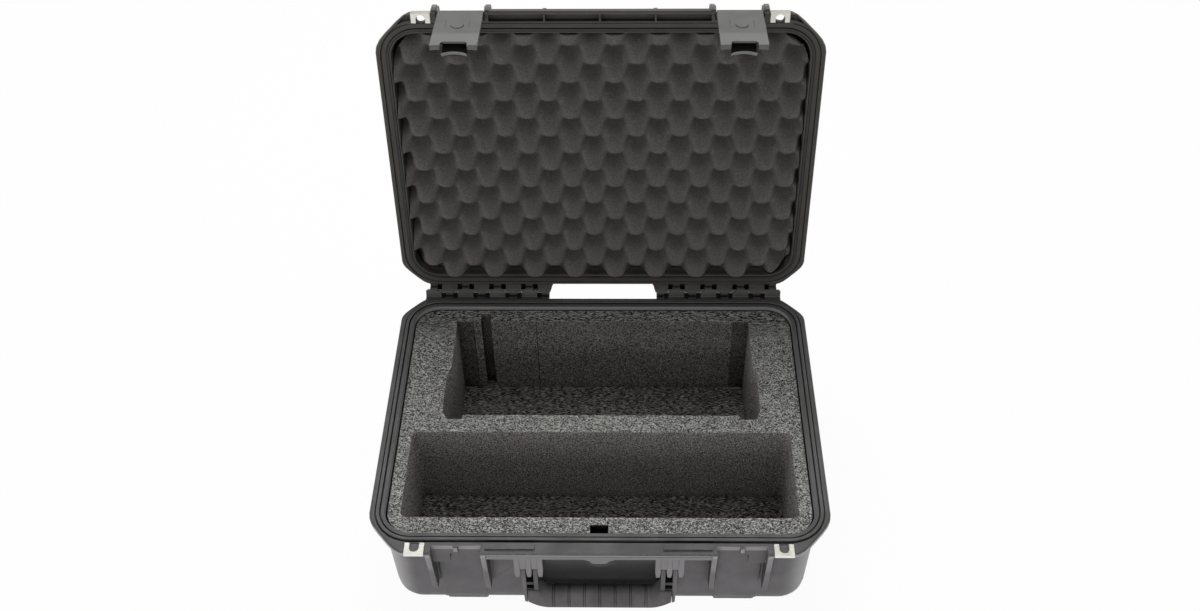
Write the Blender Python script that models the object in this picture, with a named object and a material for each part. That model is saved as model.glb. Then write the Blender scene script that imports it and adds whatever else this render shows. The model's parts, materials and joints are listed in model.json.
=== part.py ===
"""A moulded utility case standing open: base, lid, latches, carry handle, padlock plates, valve and foam.

Metres, +Z up, -Y is the front, and the origin lies under the middle of the base. Every piece is modelled
where it sits on the closed case. The lid's empty then turns the lid, its latches and its foam open.
"""

from math import ceil, cos, floor, pi, radians, sin, sqrt

import bmesh
import bpy
from mathutils import Vector

for old in list(bpy.data.objects):
    bpy.data.objects.remove(old, do_unlink=True)

# Fits shared by every piece
fit_gap = 0.0003
pin_gap = 0.0003
overrun = 0.001
merge_in = 0.002

# Steps of the round stretches, and the sharpest bend that is still shaded smooth
chamfer_bend_steps = 3
chamfer_flat_steps = 2
corner_steps = 2 * chamfer_bend_steps + chamfer_flat_steps
fillet_steps = 5
bore_sides = 16
disc_sides = 24
pin_sides = 12
nut_sides = 6
smooth_bend = radians(33)

# Overall sizes of the case
inner_half_x = 0.236
inner_half_y = 0.169
inner_corner = 0.031
wall = 0.004
rim_height = 0.152
foot_height = 0.004
base_draft = 0.004
base_floor_radius = 0.024
base_edge_radius = 0.028
lid_open_angle = radians(97.6)

# Sealing profile on the base rim, as distances out from the inner edge and down from the rim
lip_width = 0.0046
lip_drop = 0.001
tongue_inside = 0.006
tongue_outside = 0.0096
rim_groove_drop = 0.0045
flange_inside = 0.0112
flange_drop = 0.002

# Flange outline, shared by base and lid
flange_side_reach = 0.017
flange_half_x = inner_half_x + flange_side_reach
flange_front_reach = 0.026
flange_front = inner_half_y + flange_front_reach
flange_back_reach = 0.0155
flange_back = inner_half_y + flange_back_reach
front_corner = (0.045, 0.0525)
back_corner = (0.034, 0.036)
chamfer_round_share = 0.2
chamfer_flat_shares = (0.3, 0.7)
flange_edge = 0.0012
base_flange_thickness = 0.0067
lid_flange_thickness = 0.008
lid_front_setback = 0.0017
lid_front = flange_front - lid_front_setback
lid_front_corner = (0.0478, 0.049)

# Lid shell
lid_inner_depth = 0.038
lid_draft = 0.002
lid_ceiling_radius = 0.022
lid_edge_radius = 0.026
lid_lip_width = 0.0022
gasket_groove_outside = 0.0055
gasket_groove_depth = 0.005
lid_recess_outside = 0.0113
lid_recess_depth = 0.001
lid_line_outside = 0.0121
lid_line_depth = 0.002

# Latch bay: two ribs each side of the case, with the flange cut back between them
latch_inset = 0.082
latch_centre_x = inner_half_x - latch_inset
latch_bay_half = 0.0271
rib_thickness = 0.0056
rib_inner_x = latch_centre_x - latch_bay_half - rib_thickness
bay_floor_reach = 0.0155
bay_front = inner_half_y + bay_floor_reach
rib_stand_proud = 0.0015
rib_front = flange_front + rib_stand_proud
rib_foot_reach = 0.015
rib_foot_front = inner_half_y + rib_foot_reach
rib_foot_depth = 0.088
rib_foot_round = 0.003
keeper_depth = 0.0341
keeper_arch_shift = 0.001
keeper_arch_x = latch_centre_x - keeper_arch_shift
keeper_arch_half = 0.0087
keeper_arch_drop = 0.0173
keeper_arch_round = 0.002
keeper_lip = 0.0022
keeper_pocket_reach = 0.0052
keeper_pocket_back = inner_half_y + keeper_pocket_reach
keeper_pocket_rise = 0.0027
keeper_pocket_side = 0.0015
keeper_peg_shift = 0.0002
keeper_peg_x = latch_centre_x + keeper_peg_shift
keeper_peg_half = 0.0024
keeper_peg_reach = 0.0035
keeper_peg_front = bay_front + keeper_peg_reach
keeper_peg_drops = (0.0025, 0.0138)
panel_inset = 0.0027
panel_half_x = latch_bay_half - panel_inset
panel_rise = 0.0009
lid_rib_heights = (0.002, 0.014, 0.019, 0.023, 0.031)
lid_rib_setbacks = (0.0, 0.0, 0.0015, 0.0055)

# Apron under the middle of the front flange, and the bars on it
apron_drop = 0.013
apron_into_rib = 0.0019
apron_half_x = rib_inner_x + apron_into_rib
bar_into_rib = 0.0012
bar_to_x = rib_inner_x + bar_into_rib
bar_length = 0.0535
bar_from_x = bar_to_x - bar_length
bar_setback = 0.0048
bar_front = flange_front - bar_setback
bar_back_setback = 0.0112
bar_back = flange_front - bar_back_setback
bar_rise = 0.0025

# Pockets in the lid flange that take the bars, and the stop ribs above them
pocket_front_room = 0.0013
pocket_front = bar_front + pocket_front_room
pocket_back_room = 0.0006
pocket_back = bar_back - pocket_back_room
pocket_depth = 0.006
pocket_outer_x = apron_half_x
pocket_divider = 0.0022
pockets = 4
front_skin_proud = 0.0004
front_skin_front = flange_front + front_skin_proud
stop_rib_from_rib = 0.0598
stop_rib_x = rib_inner_x - stop_rib_from_rib
stop_rib_thickness = 0.0044
stop_rib_setback = 0.0025
stop_rib_front = flange_front - stop_rib_setback
stop_rib_heights = (0.006, 0.015, 0.027)

# Dark pockets in the lid flange's front corners, as distances in from its side and front
corner_pocket_insets = (
    (0.0427, 0.0102),
    (0.0427, 0.0045),
    (0.0365, 0.0048),
    (0.0282, 0.0152),
    (0.0335, 0.0128),
)
corner_pocket_depth = 0.004

# Feet under the base
foot_half_x = 0.0215
foot_inset = 0.012
foot_edge_y = inner_half_y - foot_inset
foot_length = 0.037
foot_inner_y = foot_edge_y - foot_length
foot_flare = 0.0018
foot_sunk = 0.0025
foot_top = foot_height + foot_sunk

# Hinge
hinge_offset = 0.0105
knuckle_radius = 0.0065
knuckle_pitch = 0.0204
knuckle_gap = 0.0008
knuckle_count = 8
hinge_inset = 0.0101
hinge_outer_x = inner_half_x - hinge_inset
hinge_pin_radius = 0.0024
knuckle_arm_depth = 0.0055
knuckle_arm_clear = 0.0006
knuckle_sides = 16
knuckle_start_angle = radians(150)
knuckle_turn = radians(260)
knuckle_relief_length = 0.005
knuckle_relief_angle = radians(-41)
knuckle_relief_offset = 0.0012
hinge_end_cut = 0.005
hinge_web_gap = 0.0005
hinge_web_thickness = 0.0025
hinge_web_onto_flange = 0.006
base_web_reach = 0.005
lid_web_reach = 0.0035
hinge_tab_half = 0.0045
hinge_tab_gap = 0.0009
hinge_tab_depth = 0.0055

# Latch body and its pin, from the latch's middle line
latch_side_room = 0.0018
latch_half_width = latch_bay_half - latch_side_room
latch_setback = 0.002
latch_front = flange_front - latch_setback
latch_skin = 0.0026
latch_top = 0.008
latch_bottom = 0.074
latch_side_depth = 0.0065
latch_side = 0.0025
latch_notch_half = 0.0142
latch_notch_height = 0.008
latch_notch_round = 0.003
latch_end_depth = 0.006
latch_end = 0.0025
latch_pivot_depth = 0.010
latch_pivot_y = latch_front - latch_pivot_depth
latch_pivot_height = 0.014
latch_barrel_radius = 0.005
latch_pin_radius = 0.0023
latch_barrel_end_gap = 0.0016
latch_web_drop = 0.006
latch_boss_radius = 0.0072
latch_boss_rise = 0.001
latch_boss_drop = 0.029
latch_boss_sides = 20

# Trigger, its pin and spring, inside the latch
trigger_side_room = 0.0006
trigger_half_width = latch_notch_half - trigger_side_room
trigger_pivot_depth = 0.0064
trigger_pivot_y = latch_front - trigger_pivot_depth
trigger_pivot_drop = 0.050
trigger_pin_radius = 0.0015
trigger_bracket = 0.0024
trigger_bracket_reach = 0.0042
trigger_bracket_half = 0.006
trigger_spring_half = 0.0045
trigger_spring_reach = 0.0042
trigger_thickness = 0.0026
trigger_barrel_radius = 0.0032
barb_room = 0.0004
barb_outer_y = bay_front - keeper_lip - barb_room
barb_thickness = 0.0023
barb_inner_y = barb_outer_y - barb_thickness
barb_rise = 0.0016
barb_top_drop = keeper_depth - barb_rise
barb_bevel = 0.0008
hook_room = 0.0007
hook_top_drop = keeper_depth + hook_room
hook_thickness = 0.0026
scoop_from = 0.008
scoop_to = 0.017
scoop_drops = (trigger_pivot_drop + scoop_from, trigger_pivot_drop + scoop_to)
scoop_depth = 0.0086
scoop_y = trigger_pivot_y - scoop_depth
lip_depth = 0.0021
lip_y = trigger_pivot_y - lip_depth
lip_thickness = 0.0022
lip_overhang = 0.0017
lip_drop_at_side = latch_bottom + lip_overhang
spring_wire_radius = 0.00035
spring_room_round_pin = 0.0011
spring_coil_radius = trigger_pin_radius + spring_room_round_pin
spring_pitch = 0.00125
spring_turns = 5
spring_points = 10
spring_sides = 6
spring_leg = 0.0075
spring_short_leg = 0.0032

# Handle posts on the base, and the handle's pins
post_group_inset = 0.0447
post_middle_x = rib_inner_x - post_group_inset
post_inner_pitch = 0.0125
post_outer_pitch = 0.0126
post_xs = (post_middle_x - post_inner_pitch, post_middle_x, post_middle_x + post_outer_pitch)
post_half = 0.003
post_foot_half = 0.002
post_setback = 0.001
post_front = flange_front - post_setback
post_drop = 0.051
post_slope = 0.002
web_drop = 0.0344
web_thickness = 0.004
handle_pivot_depth = 0.009
handle_pivot_y = post_front - handle_pivot_depth
handle_pivot_drop = 0.041
handle_pin_radius = 0.0024

# Handle frame: two rails between the posts each side, ties across them and a core inside the grip
rail_half_depth = 0.0055
rail_inner_near_gap = 0.0005
rail_inner_far_gap = 0.001
rail_inner = (post_xs[0] + post_half + rail_inner_near_gap, post_xs[1] - post_half - rail_inner_far_gap)
rail_outer_near_gap = 0.0012
rail_outer_far_gap = 0.0004
rail_outer = (post_xs[1] + post_half + rail_outer_near_gap, post_xs[2] - post_half - rail_outer_far_gap)
rail_top_steps = 8
arm_end_drop = 0.1065
arm_end_taper = 0.0016
core_bottom = arm_end_drop
core_bar_height = 0.005
core_bar_top = core_bottom - core_bar_height
core_front_depth = 0.0032
core_front = handle_pivot_y + core_front_depth
core_back_depth = 0.0045
core_back = handle_pivot_y - core_back_depth
core_side_inset = 0.0005
core_half_x = rail_outer[0] + core_side_inset
core_corner = 0.012
core_inner_corner = 0.0095
tie_setback = 0.001

# Grip moulded round the core
grip_side_room = 0.0009
grip_half_x = rail_outer[0] - grip_side_room
grip_front = post_front
grip_back_depth = 0.0115
grip_back = handle_pivot_y - grip_back_depth
grip_under_core = 0.008
grip_bottom = core_bottom + grip_under_core
grip_face_below_bar = 0.003
grip_face_top = core_bar_top + grip_face_below_bar
grip_over_bar = 0.012
grip_crown = core_bar_top - grip_over_bar
grip_corner_rise = 0.008
grip_shoulder = grip_crown - grip_corner_rise
grip_curve_to = rail_inner[0]
grip_curve_length = 0.0116
grip_curve_from = grip_curve_to - grip_curve_length
grip_round_from = grip_curve_from
grip_round_height = 0.0118
grip_edge = 0.003
grip_curve_shares = (0, 0.4, 0.7, 0.87, 1)
grip_round_shares = (0.75, 1)
grip_top_shares = (0.125, 0.333, 0.667)
shoulder_tie_height = 0.002
shoulder_tie_drops = (grip_shoulder - shoulder_tie_height, grip_shoulder)
middle_tie_above = 0.0147
middle_tie_under = 0.0095
middle_tie_drops = (grip_shoulder - middle_tie_above, grip_shoulder - middle_tie_under)

# Padlock plates, folded round the flange edges
plate_from_side = 0.0545
plate_centre_x = flange_half_x - plate_from_side
plate_half_x = 0.0108
plate_thickness = 0.0012
plate_setback = 0.0023
plate_front = flange_front - plate_setback
plate_depth = 0.0117
plate_back = plate_front - plate_depth
lid_padlock_hole_depth = 0.0069
lid_padlock_hole_y = plate_front - lid_padlock_hole_depth
base_plate_proud = 0.0007
base_plate_front = flange_front + base_plate_proud
base_plate_height = 0.0046
base_padlock_hole_depth = 0.0083
base_padlock_hole_y = base_plate_front - base_padlock_hole_depth
padlock_hole_radius = 0.0052
padlock_hole_step = 0.0004
padlock_flange_hole_radius = padlock_hole_radius - padlock_hole_step
plate_side_gap = 0.0004
slot_round_steps = 10

# Pressure valve through the front wall
valve_drop = 0.035
valve_radius = 0.0175
valve_thickness = 0.003
valve_seat_rise = 0.0005
valve_seat_front = inner_half_y + wall + valve_seat_rise
valve_seat_inset = 0.0005
valve_seat_radius = valve_radius - valve_seat_inset
valve_seal_inset = 0.002
valve_seal_radius = valve_radius - valve_seal_inset
valve_seal_thickness = 0.0012
valve_stem_radius = 0.006
valve_stem_reach = 0.011
valve_stem_back = inner_half_y - valve_stem_reach
valve_cap_inset = 0.006
valve_cap_radius = valve_radius - valve_cap_inset
valve_cap_thickness = 0.0015
valve_nut_wall = 0.003
valve_nut_radius = valve_stem_radius + valve_nut_wall
valve_nut_thickness = 0.005
valve_hole_room = 0.0004
valve_hole_radius = valve_stem_radius + valve_hole_room
valve_clamp_gap = 0.0004

# Foam in the base
foam_drop = 0.007
foam_side_gap = 0.001
floor_pad_thickness = 0.010
rear_cavity_side_wall = 0.053
rear_cavity_half_x = inner_half_x - rear_cavity_side_wall
rear_cavity_step = 0.0045
rear_cavity_wide_half_x = rear_cavity_half_x + rear_cavity_step
rear_cavity_back_wall = 0.021
rear_cavity_back = inner_half_y - rear_cavity_back_wall
rear_cavity_front = -0.002
rear_cavity_jog_from_back = 0.075
rear_cavity_jog_y = rear_cavity_back - rear_cavity_jog_from_back
rear_cavity_jog_run = 0.012
rear_cavity_toe_depth = 0.006
rear_cavity_toe_inset = 0.020
rear_cavity_toe_x = rear_cavity_half_x - rear_cavity_toe_inset
slot_inset = 0.0421
slot_from_x = rear_cavity_half_x - slot_inset
slot_outer_inset = 0.0296
slot_to_x = rear_cavity_half_x - slot_outer_inset
slot_depth = 0.012
slot_back = rear_cavity_back + slot_depth
front_cavity_side_wall = 0.0165
front_cavity_half_x = inner_half_x - front_cavity_side_wall
cavity_divider = 0.025
front_cavity_back = rear_cavity_front - cavity_divider
front_cavity_front_wall = 0.024
front_cavity_front = front_cavity_front_wall - inner_half_y
front_cavity_corner = 0.007
cavity_corner_steps = 3
notch_half_x = 0.010
notch_reach = 0.0144
notch_back = inner_half_y - notch_reach
notch_depth = 0.055

# Egg-crate foam in the lid
egg_pitch_x = 0.05075
egg_pitch_y = 0.0472
egg_phase_x = 0.016
egg_row_past_edge = 0.0007
egg_phase_y = inner_half_y + egg_row_past_edge
egg_peak = 0.006
egg_height = 0.021
lid_foam_gap = 0.0015
lid_foam_back_gap = 0.0006

# Levels and places that follow from the sizes above
hinge_y = flange_back + hinge_offset
hinge_inner_x = hinge_outer_x - knuckle_count * knuckle_pitch + knuckle_gap
shell_bottom = foot_height
floor_top = shell_bottom + wall
flange_level = rim_height - flange_drop
flange_bottom = flange_level - base_flange_thickness
lid_top = rim_height + lid_inner_depth + wall
lid_flange_top = rim_height + lid_flange_thickness
hinge_place = Vector((0, hinge_y, rim_height))


def paint(name, colour, roughness, metallic=0.0):
    """One Principled BSDF material."""
    material = bpy.data.materials.new(name)
    material.use_nodes = True
    shader = material.node_tree.nodes["Principled BSDF"]
    shader.inputs["Base Color"].default_value = (*colour, 1.0)
    shader.inputs["Roughness"].default_value = roughness
    shader.inputs["Metallic"].default_value = metallic
    return material


case_plastic = paint("case_plastic", (0.115, 0.115, 0.115), 0.55)
lid_plastic = paint("lid_plastic", (0.075, 0.075, 0.073), 0.55)
latch_plastic = paint("latch_plastic", (0.135, 0.137, 0.133), 0.5)
trigger_plastic = paint("trigger_plastic", (0.05, 0.05, 0.05), 0.5)
grip_rubber = paint("grip_rubber", (0.075, 0.073, 0.074), 0.7)
seal_rubber = paint("seal_rubber", (0.02, 0.02, 0.02), 0.8)
steel = paint("steel", (0.62, 0.60, 0.54), 0.3, 1.0)
block_foam = paint("block_foam", (0.15, 0.155, 0.145), 0.95)
floor_foam = paint("floor_foam", (0.045, 0.042, 0.042), 0.95)
egg_foam = paint("egg_foam", (0.055, 0.05, 0.048), 0.95)

closed_places = {}


def attach(obj, place, parent):
    """Puts an object at a place on the closed case, under a parent that may turn it later."""
    bpy.context.scene.collection.objects.link(obj)
    closed_places[obj.name] = Vector(place)
    obj.parent = parent
    obj.location = Vector(place)
    if parent:
        obj.location = Vector(place) - closed_places[parent.name]
    return obj


def axis_empty(name, place, parent=None):
    return attach(bpy.data.objects.new(name, None), place, parent)


def solid(name, lofts, material=None, place=(0, 0, 0), parent=None):
    """One object from lofts, each a list of rings of equally many points. No material makes a helper."""
    bm = bmesh.new()
    for rings in lofts:
        loops = [[bm.verts.new(Vector(point) - Vector(place)) for point in ring] for ring in rings]
        for low, high in zip(loops, loops[1:]):
            for i, corner in enumerate(low):
                after = (i + 1) % len(low)
                bm.faces.new((corner, low[after], high[after], high[i]))
        bm.faces.new(loops[0][::-1])
        bm.faces.new(loops[-1])
    bmesh.ops.recalc_face_normals(bm, faces=bm.faces)
    mesh = bpy.data.meshes.new(name)
    bm.to_mesh(mesh)
    bm.free()
    obj = attach(bpy.data.objects.new(name, mesh), place, parent)
    if material:
        mesh.materials.append(material)
    else:
        obj.hide_render = True
        obj.display_type = "WIRE"
    return obj


def combine(target, helper, operation):
    modifier = target.modifiers.new(helper.name, "BOOLEAN")
    modifier.operation = operation
    modifier.solver = "EXACT"
    modifier.object = helper


def cut(target, name, lofts):
    helper = solid(name, lofts, place=closed_places[target.name], parent=target.parent)
    combine(target, helper, "DIFFERENCE")


def join(target, name, lofts):
    helper = solid(name, lofts, place=closed_places[target.name], parent=target.parent)
    combine(target, helper, "UNION")


def prism(outline, axis, low, high):
    """Two rings from a flat outline: (y, z) points along X, (x, z) along Y or (x, y) along Z."""
    place = {
        "X": lambda level, a, b: (level, a, b),
        "Y": lambda level, a, b: (a, level, b),
        "Z": lambda level, a, b: (a, b, level),
    }[axis]
    return [[place(level, a, b) for a, b in outline] for level in (low, high)]


def box(x_range, y_range, z_range):
    (x0, x1), (y0, y1), (z0, z1) = x_range, y_range, z_range
    return prism([(x0, y0), (x1, y0), (x1, y1), (x0, y1)], "Z", z0, z1)


def arc(centre, radius, start, turn, steps):
    points = []
    for step in range(steps + 1):
        angle = start + turn * step / steps
        points.append((centre[0] + radius * cos(angle), centre[1] + radius * sin(angle)))
    return points


def drum(centre, radius, axis, low, high, sides=bore_sides):
    return prism(arc(centre, radius, 0, 2 * pi, sides)[:-1], axis, low, high)


def both_sides(lofts):
    """The lofts and their mirror images across the middle of the case."""
    return lofts + [[[(-x, y, z) for x, y, z in ring] for ring in rings] for rings in lofts]


def mirrored(lofts, side):
    return [[[(side * x, y, z) for x, y, z in ring] for ring in rings] for rings in lofts]


def round_shares():
    return [(cos(pi / 2 * i / corner_steps), sin(pi / 2 * i / corner_steps)) for i in range(corner_steps + 1)]


def chamfer_shares():
    """A chamfered corner with soft ends, from (1, 0) to (0, 1), in shares of the corner's two sizes."""
    start, far = (1.0, chamfer_round_share), (chamfer_round_share, 1.0)

    def on_flat(share):
        return tuple(a + (b - a) * share for a, b in zip(start, far))

    def bend(first, middle, last):
        points = []
        for step in range(chamfer_bend_steps):
            share = step / chamfer_bend_steps
            weights = ((1 - share) ** 2, 2 * share * (1 - share), share * share)
            corners = (first, middle, last)
            points.append(tuple(sum(w * p[i] for w, p in zip(weights, corners)) for i in (0, 1)))
        return points

    low, high = (on_flat(share) for share in chamfer_flat_shares)
    half = on_flat(sum(chamfer_flat_shares) / 2)
    into_flat = bend((1.0, 0.0), start, low)
    out_of_flat = bend((0.0, 1.0), far, high)
    return into_flat + [low, half, high] + out_of_flat[::-1]


def level_ring(half_x, front, back, front_size, back_size, shares, z):
    """One level outline, counter-clockwise from the back right corner."""
    points = []
    corners = ((1, 1, back, back_size), (-1, 1, back, back_size))
    corners += ((-1, -1, front, front_size), (1, -1, front, front_size))
    for side_x, side_y, reach, (size_x, size_y) in corners:
        for share_x, share_y in shares if side_x * side_y > 0 else shares[::-1]:
            x = half_x - size_x * (1 - share_x)
            y = reach - size_y * (1 - share_y)
            points.append((side_x * x, side_y * y, z))
    return points


def wall_ring(offset, z):
    """The rounded outline at a distance out from the inner edge of the rim."""
    corner = (inner_corner + offset,) * 2
    half_y = inner_half_y + offset
    return level_ring(inner_half_x + offset, half_y, half_y, corner, corner, round_shares(), z)


def flange_ring(inset, z, front=flange_front, corner=front_corner):
    half_x, back = flange_half_x - inset, flange_back - inset
    return level_ring(half_x, front - inset, back, corner, back_corner, chamfer_shares(), z)


def lid_flange_ring(inset, z):
    return flange_ring(inset, z, lid_front, lid_front_corner)


def fillet(offset, level, radius, rise):
    """(offset, z) stations round the edge of a flat floor or ceiling, from flat to upright."""
    stations = []
    for step in range(fillet_steps + 1):
        angle = pi / 2 * step / fillet_steps
        stations.append((offset - radius * (1 - sin(angle)), level + rise * radius * (1 - cos(angle))))
    return stations


def knuckle_slots(first):
    """(low, high) X ranges of every second hinge knuckle on the right, outermost first."""
    slots = []
    for index in range(first, knuckle_count, 2):
        high = hinge_outer_x - index * knuckle_pitch
        slots.append((high - knuckle_pitch + knuckle_gap, high))
    return slots


def knuckle_outline(up):
    """The barrel round the hinge axis and the arm that joins it to the flange, in (y, z)."""
    barrel = arc((0, 0), knuckle_radius, knuckle_start_angle, -knuckle_turn, knuckle_sides)
    root = hinge_offset + merge_in
    shelf = flange_drop + knuckle_arm_clear
    arm = [(-root, -shelf - knuckle_arm_depth), (-root, -shelf), (-knuckle_radius - overrun, -shelf)]
    if up:
        arm = [(-root, -lid_flange_thickness + knuckle_arm_clear), (-root, -knuckle_arm_clear)]
        arm.append((-knuckle_radius - overrun, -knuckle_arm_clear))
    turned = -1 if up else 1
    return [(hinge_y + y, rim_height + turned * z) for y, z in barrel + arm]


def knuckle_reliefs(first, angle):
    """Cutters that halve the ends of every second knuckle along a plane near the hinge axis."""
    reach = 2 * knuckle_radius
    along, out = (cos(angle), sin(angle)), (-sin(angle), cos(angle))
    outline = []
    for run, rise in ((-reach, 0), (reach, 0), (reach, reach), (-reach, reach)):
        rise += knuckle_relief_offset
        y = hinge_y + run * along[0] + rise * out[0]
        outline.append((y, rim_height + run * along[1] + rise * out[1]))
    lofts = []
    for low, high in knuckle_slots(first):
        lofts.append(prism(outline, "X", low - overrun, low + knuckle_relief_length))
        lofts.append(prism(outline, "X", high - knuckle_relief_length, high + overrun))
    return lofts


def hinge_web(reach, up):
    """A plate behind the knuckles that closes the hinge from behind."""
    turned = 1 if up else -1
    near = knuckle_radius + hinge_web_gap
    levels = sorted((rim_height + turned * near, rim_height + turned * (near + hinge_web_thickness)))
    x_range = (hinge_inner_x + knuckle_relief_length, hinge_outer_x - knuckle_relief_length)
    return box(x_range, (flange_back - (hinge_web_onto_flange if up else merge_in), hinge_y + reach), levels)


def knuckle_feet(slots, up):
    """Blocks that join the knuckles to the plate behind them."""
    turned = 1 if up else -1
    near = knuckle_radius + hinge_web_gap
    levels = sorted((rim_height + turned * (near - merge_in), rim_height + turned * (near + merge_in / 2)))
    inset = knuckle_relief_length - overrun
    y_range = (hinge_y - lid_web_reach + overrun, hinge_y + lid_web_reach - overrun)
    return [box((low + inset, high - inset), y_range, levels) for low, high in slots]


def hinge_tab(slot, z_range):
    middle = (slot[0] + slot[1]) / 2
    y_range = (flange_back - merge_in, hinge_y - knuckle_radius - hinge_tab_gap)
    return box((middle - hinge_tab_half, middle + hinge_tab_half), y_range, z_range)


def latch_ribs(outline):
    """Four ribs, one each side of both latch bays, from an outline in (y, z)."""
    lofts = []
    for side in (-1, 1):
        near = latch_centre_x + side * latch_bay_half
        far = near + side * rib_thickness
        lofts.append(prism(outline, "X", min(near, far), max(near, far)))
    return both_sides(lofts)


def plate_fold(low, high, front, inset):
    """The folded plate's cross-section in (y, z), open towards the case, with its inner faces inset."""
    front, back = -front, -plate_back
    inner_low, inner_high = low + inset, high - inset
    return [
        (back, low),
        (front, low),
        (front, high),
        (back, high),
        (back, inner_high),
        (front + inset, inner_high),
        (front + inset, inner_low),
        (back, inner_low),
    ]


def plate_seat(low, high, front, bottom):
    """Cutters that leave a tongue of flange for a folded plate, on both sides of the case."""
    outside = plate_half_x + plate_side_gap
    x_range = (plate_centre_x - outside, plate_centre_x + outside)
    grown = []
    for i, (y, z) in enumerate(plate_fold(low, high, front, plate_thickness + fit_gap)):
        if i in (1, 2):
            y -= overrun + fit_gap
        if i in (0, 1):
            z = bottom - overrun
        if i in (2, 3):
            z += overrun + fit_gap
        grown.append((y + fit_gap if y == -plate_back else y, z))
    return both_sides([prism(grown, "X", *x_range)])


def padlock_holes(low, high, hole_y):
    centre = (plate_centre_x, -hole_y)
    return both_sides([drum(centre, padlock_flange_hole_radius, "Z", low - overrun, high + overrun)])


def base_profile():
    """Rings of the base shell, from the middle of its floor up, over the rim and down to the underside."""
    groove = rim_height - rim_groove_drop
    rings = [wall_ring(*station) for station in fillet(-base_draft, floor_top, base_floor_radius, 1)]
    lip = rim_height - lip_drop
    rim_stations = [
        (0, lip),
        (lip_width, lip),
        (lip_width, groove),
        (tongue_inside, groove),
        (tongue_inside, rim_height),
        (tongue_outside, rim_height),
        (tongue_outside, groove),
        (flange_inside, groove),
        (flange_inside, flange_level),
    ]
    rings += [wall_ring(*station) for station in rim_stations]
    rings += [
        flange_ring(flange_edge, flange_level),
        flange_ring(0, flange_level - flange_edge),
        flange_ring(0, flange_bottom + flange_edge),
        flange_ring(flange_edge, flange_bottom),
        wall_ring(wall, flange_bottom),
    ]
    under = fillet(wall - base_draft, shell_bottom, base_edge_radius, 1)
    rings += [wall_ring(*station) for station in reversed(under)]
    return rings


def keeper_pads():
    """Thick pads under the flange in the latch bays, each with an arch that the trigger's middle clears."""
    top, low = flange_bottom + overrun, rim_height - keeper_depth
    left, right = latch_centre_x - latch_bay_half, latch_centre_x + latch_bay_half
    crown = rim_height - keeper_arch_drop
    near, far = keeper_arch_half - keeper_arch_round, keeper_arch_half
    arch = [(-far, low), (-far, crown - keeper_arch_round), (-near, crown)]
    arch += [(-x, z) for x, z in reversed(arch)]
    outline = [(left - overrun, top), (left - overrun, low)]
    outline += [(keeper_arch_x + x, z) for x, z in arch]
    outline += [(right + overrun, low), (right + overrun, top)]
    return both_sides([prism(outline, "Y", -bay_front, -inner_half_y - wall / 2)])


def base_rib_outline():
    foot = rim_height - rib_foot_depth
    beyond_grooves = -inner_half_y - flange_inside - overrun
    return [
        (-inner_half_y - wall / 2, flange_bottom + overrun),
        (beyond_grooves, flange_bottom + overrun),
        (beyond_grooves, flange_level - overrun),
        (-rib_front, flange_level - overrun),
        (-rib_foot_front, foot),
        (-rib_foot_front + rib_foot_round, foot - rib_foot_round),
        (-inner_half_y, foot - rib_foot_round),
    ]


def handle_posts():
    """Six plates that carry the handle pins, in two groups of three."""
    drop = rim_height - post_drop
    inside = -inner_half_y - wall / 2
    levels = [
        (flange_bottom + overrun, -post_front, inside, post_half),
        (rim_height - handle_pivot_drop, -post_front, inside, post_half),
        (drop + post_slope, -post_front, -handle_pivot_y + 2 * post_slope, post_foot_half),
        (drop, -post_front + post_slope, -handle_pivot_y + post_slope, post_foot_half),
    ]
    lofts = []
    for middle in post_xs:
        rings = []
        for z, front, back, half in levels:
            near, far = middle - half, middle + half
            rings.append([(near, front, z), (far, front, z), (far, back, z), (near, back, z)])
        lofts.append(rings)
    return both_sides(lofts)


def foot_pads():
    lofts = []
    for side in (-1, 1):
        rings = []
        for z, flare in ((0, 0), (foot_height, foot_flare), (foot_top, foot_flare)):
            near, far = latch_centre_x - foot_half_x - flare, latch_centre_x + foot_half_x + flare
            inner, edge = side * (foot_inner_y - flare), side * (foot_edge_y + flare)
            rings.append([(near, inner, z), (far, inner, z), (far, edge, z), (near, edge, z)])
        lofts.append(rings)
    return both_sides(lofts)


def latch_panels():
    """Thin raised panels on the front wall below each latch bay, down to the floor."""
    under = fillet(wall - base_draft, shell_bottom, base_edge_radius, 1)
    face = [(0, shell_bottom)] + under[1:] + [(wall, flange_bottom + overrun)]
    outline = [(-inner_half_y - offset - panel_rise, z) for offset, z in face[2:]]
    outline += [(-inner_half_y - offset + wall / 2, z) for offset, z in reversed(face[2:])]
    x_range = (latch_centre_x - panel_half_x, latch_centre_x + panel_half_x)
    return both_sides([prism(outline, "X", *x_range)])


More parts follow.
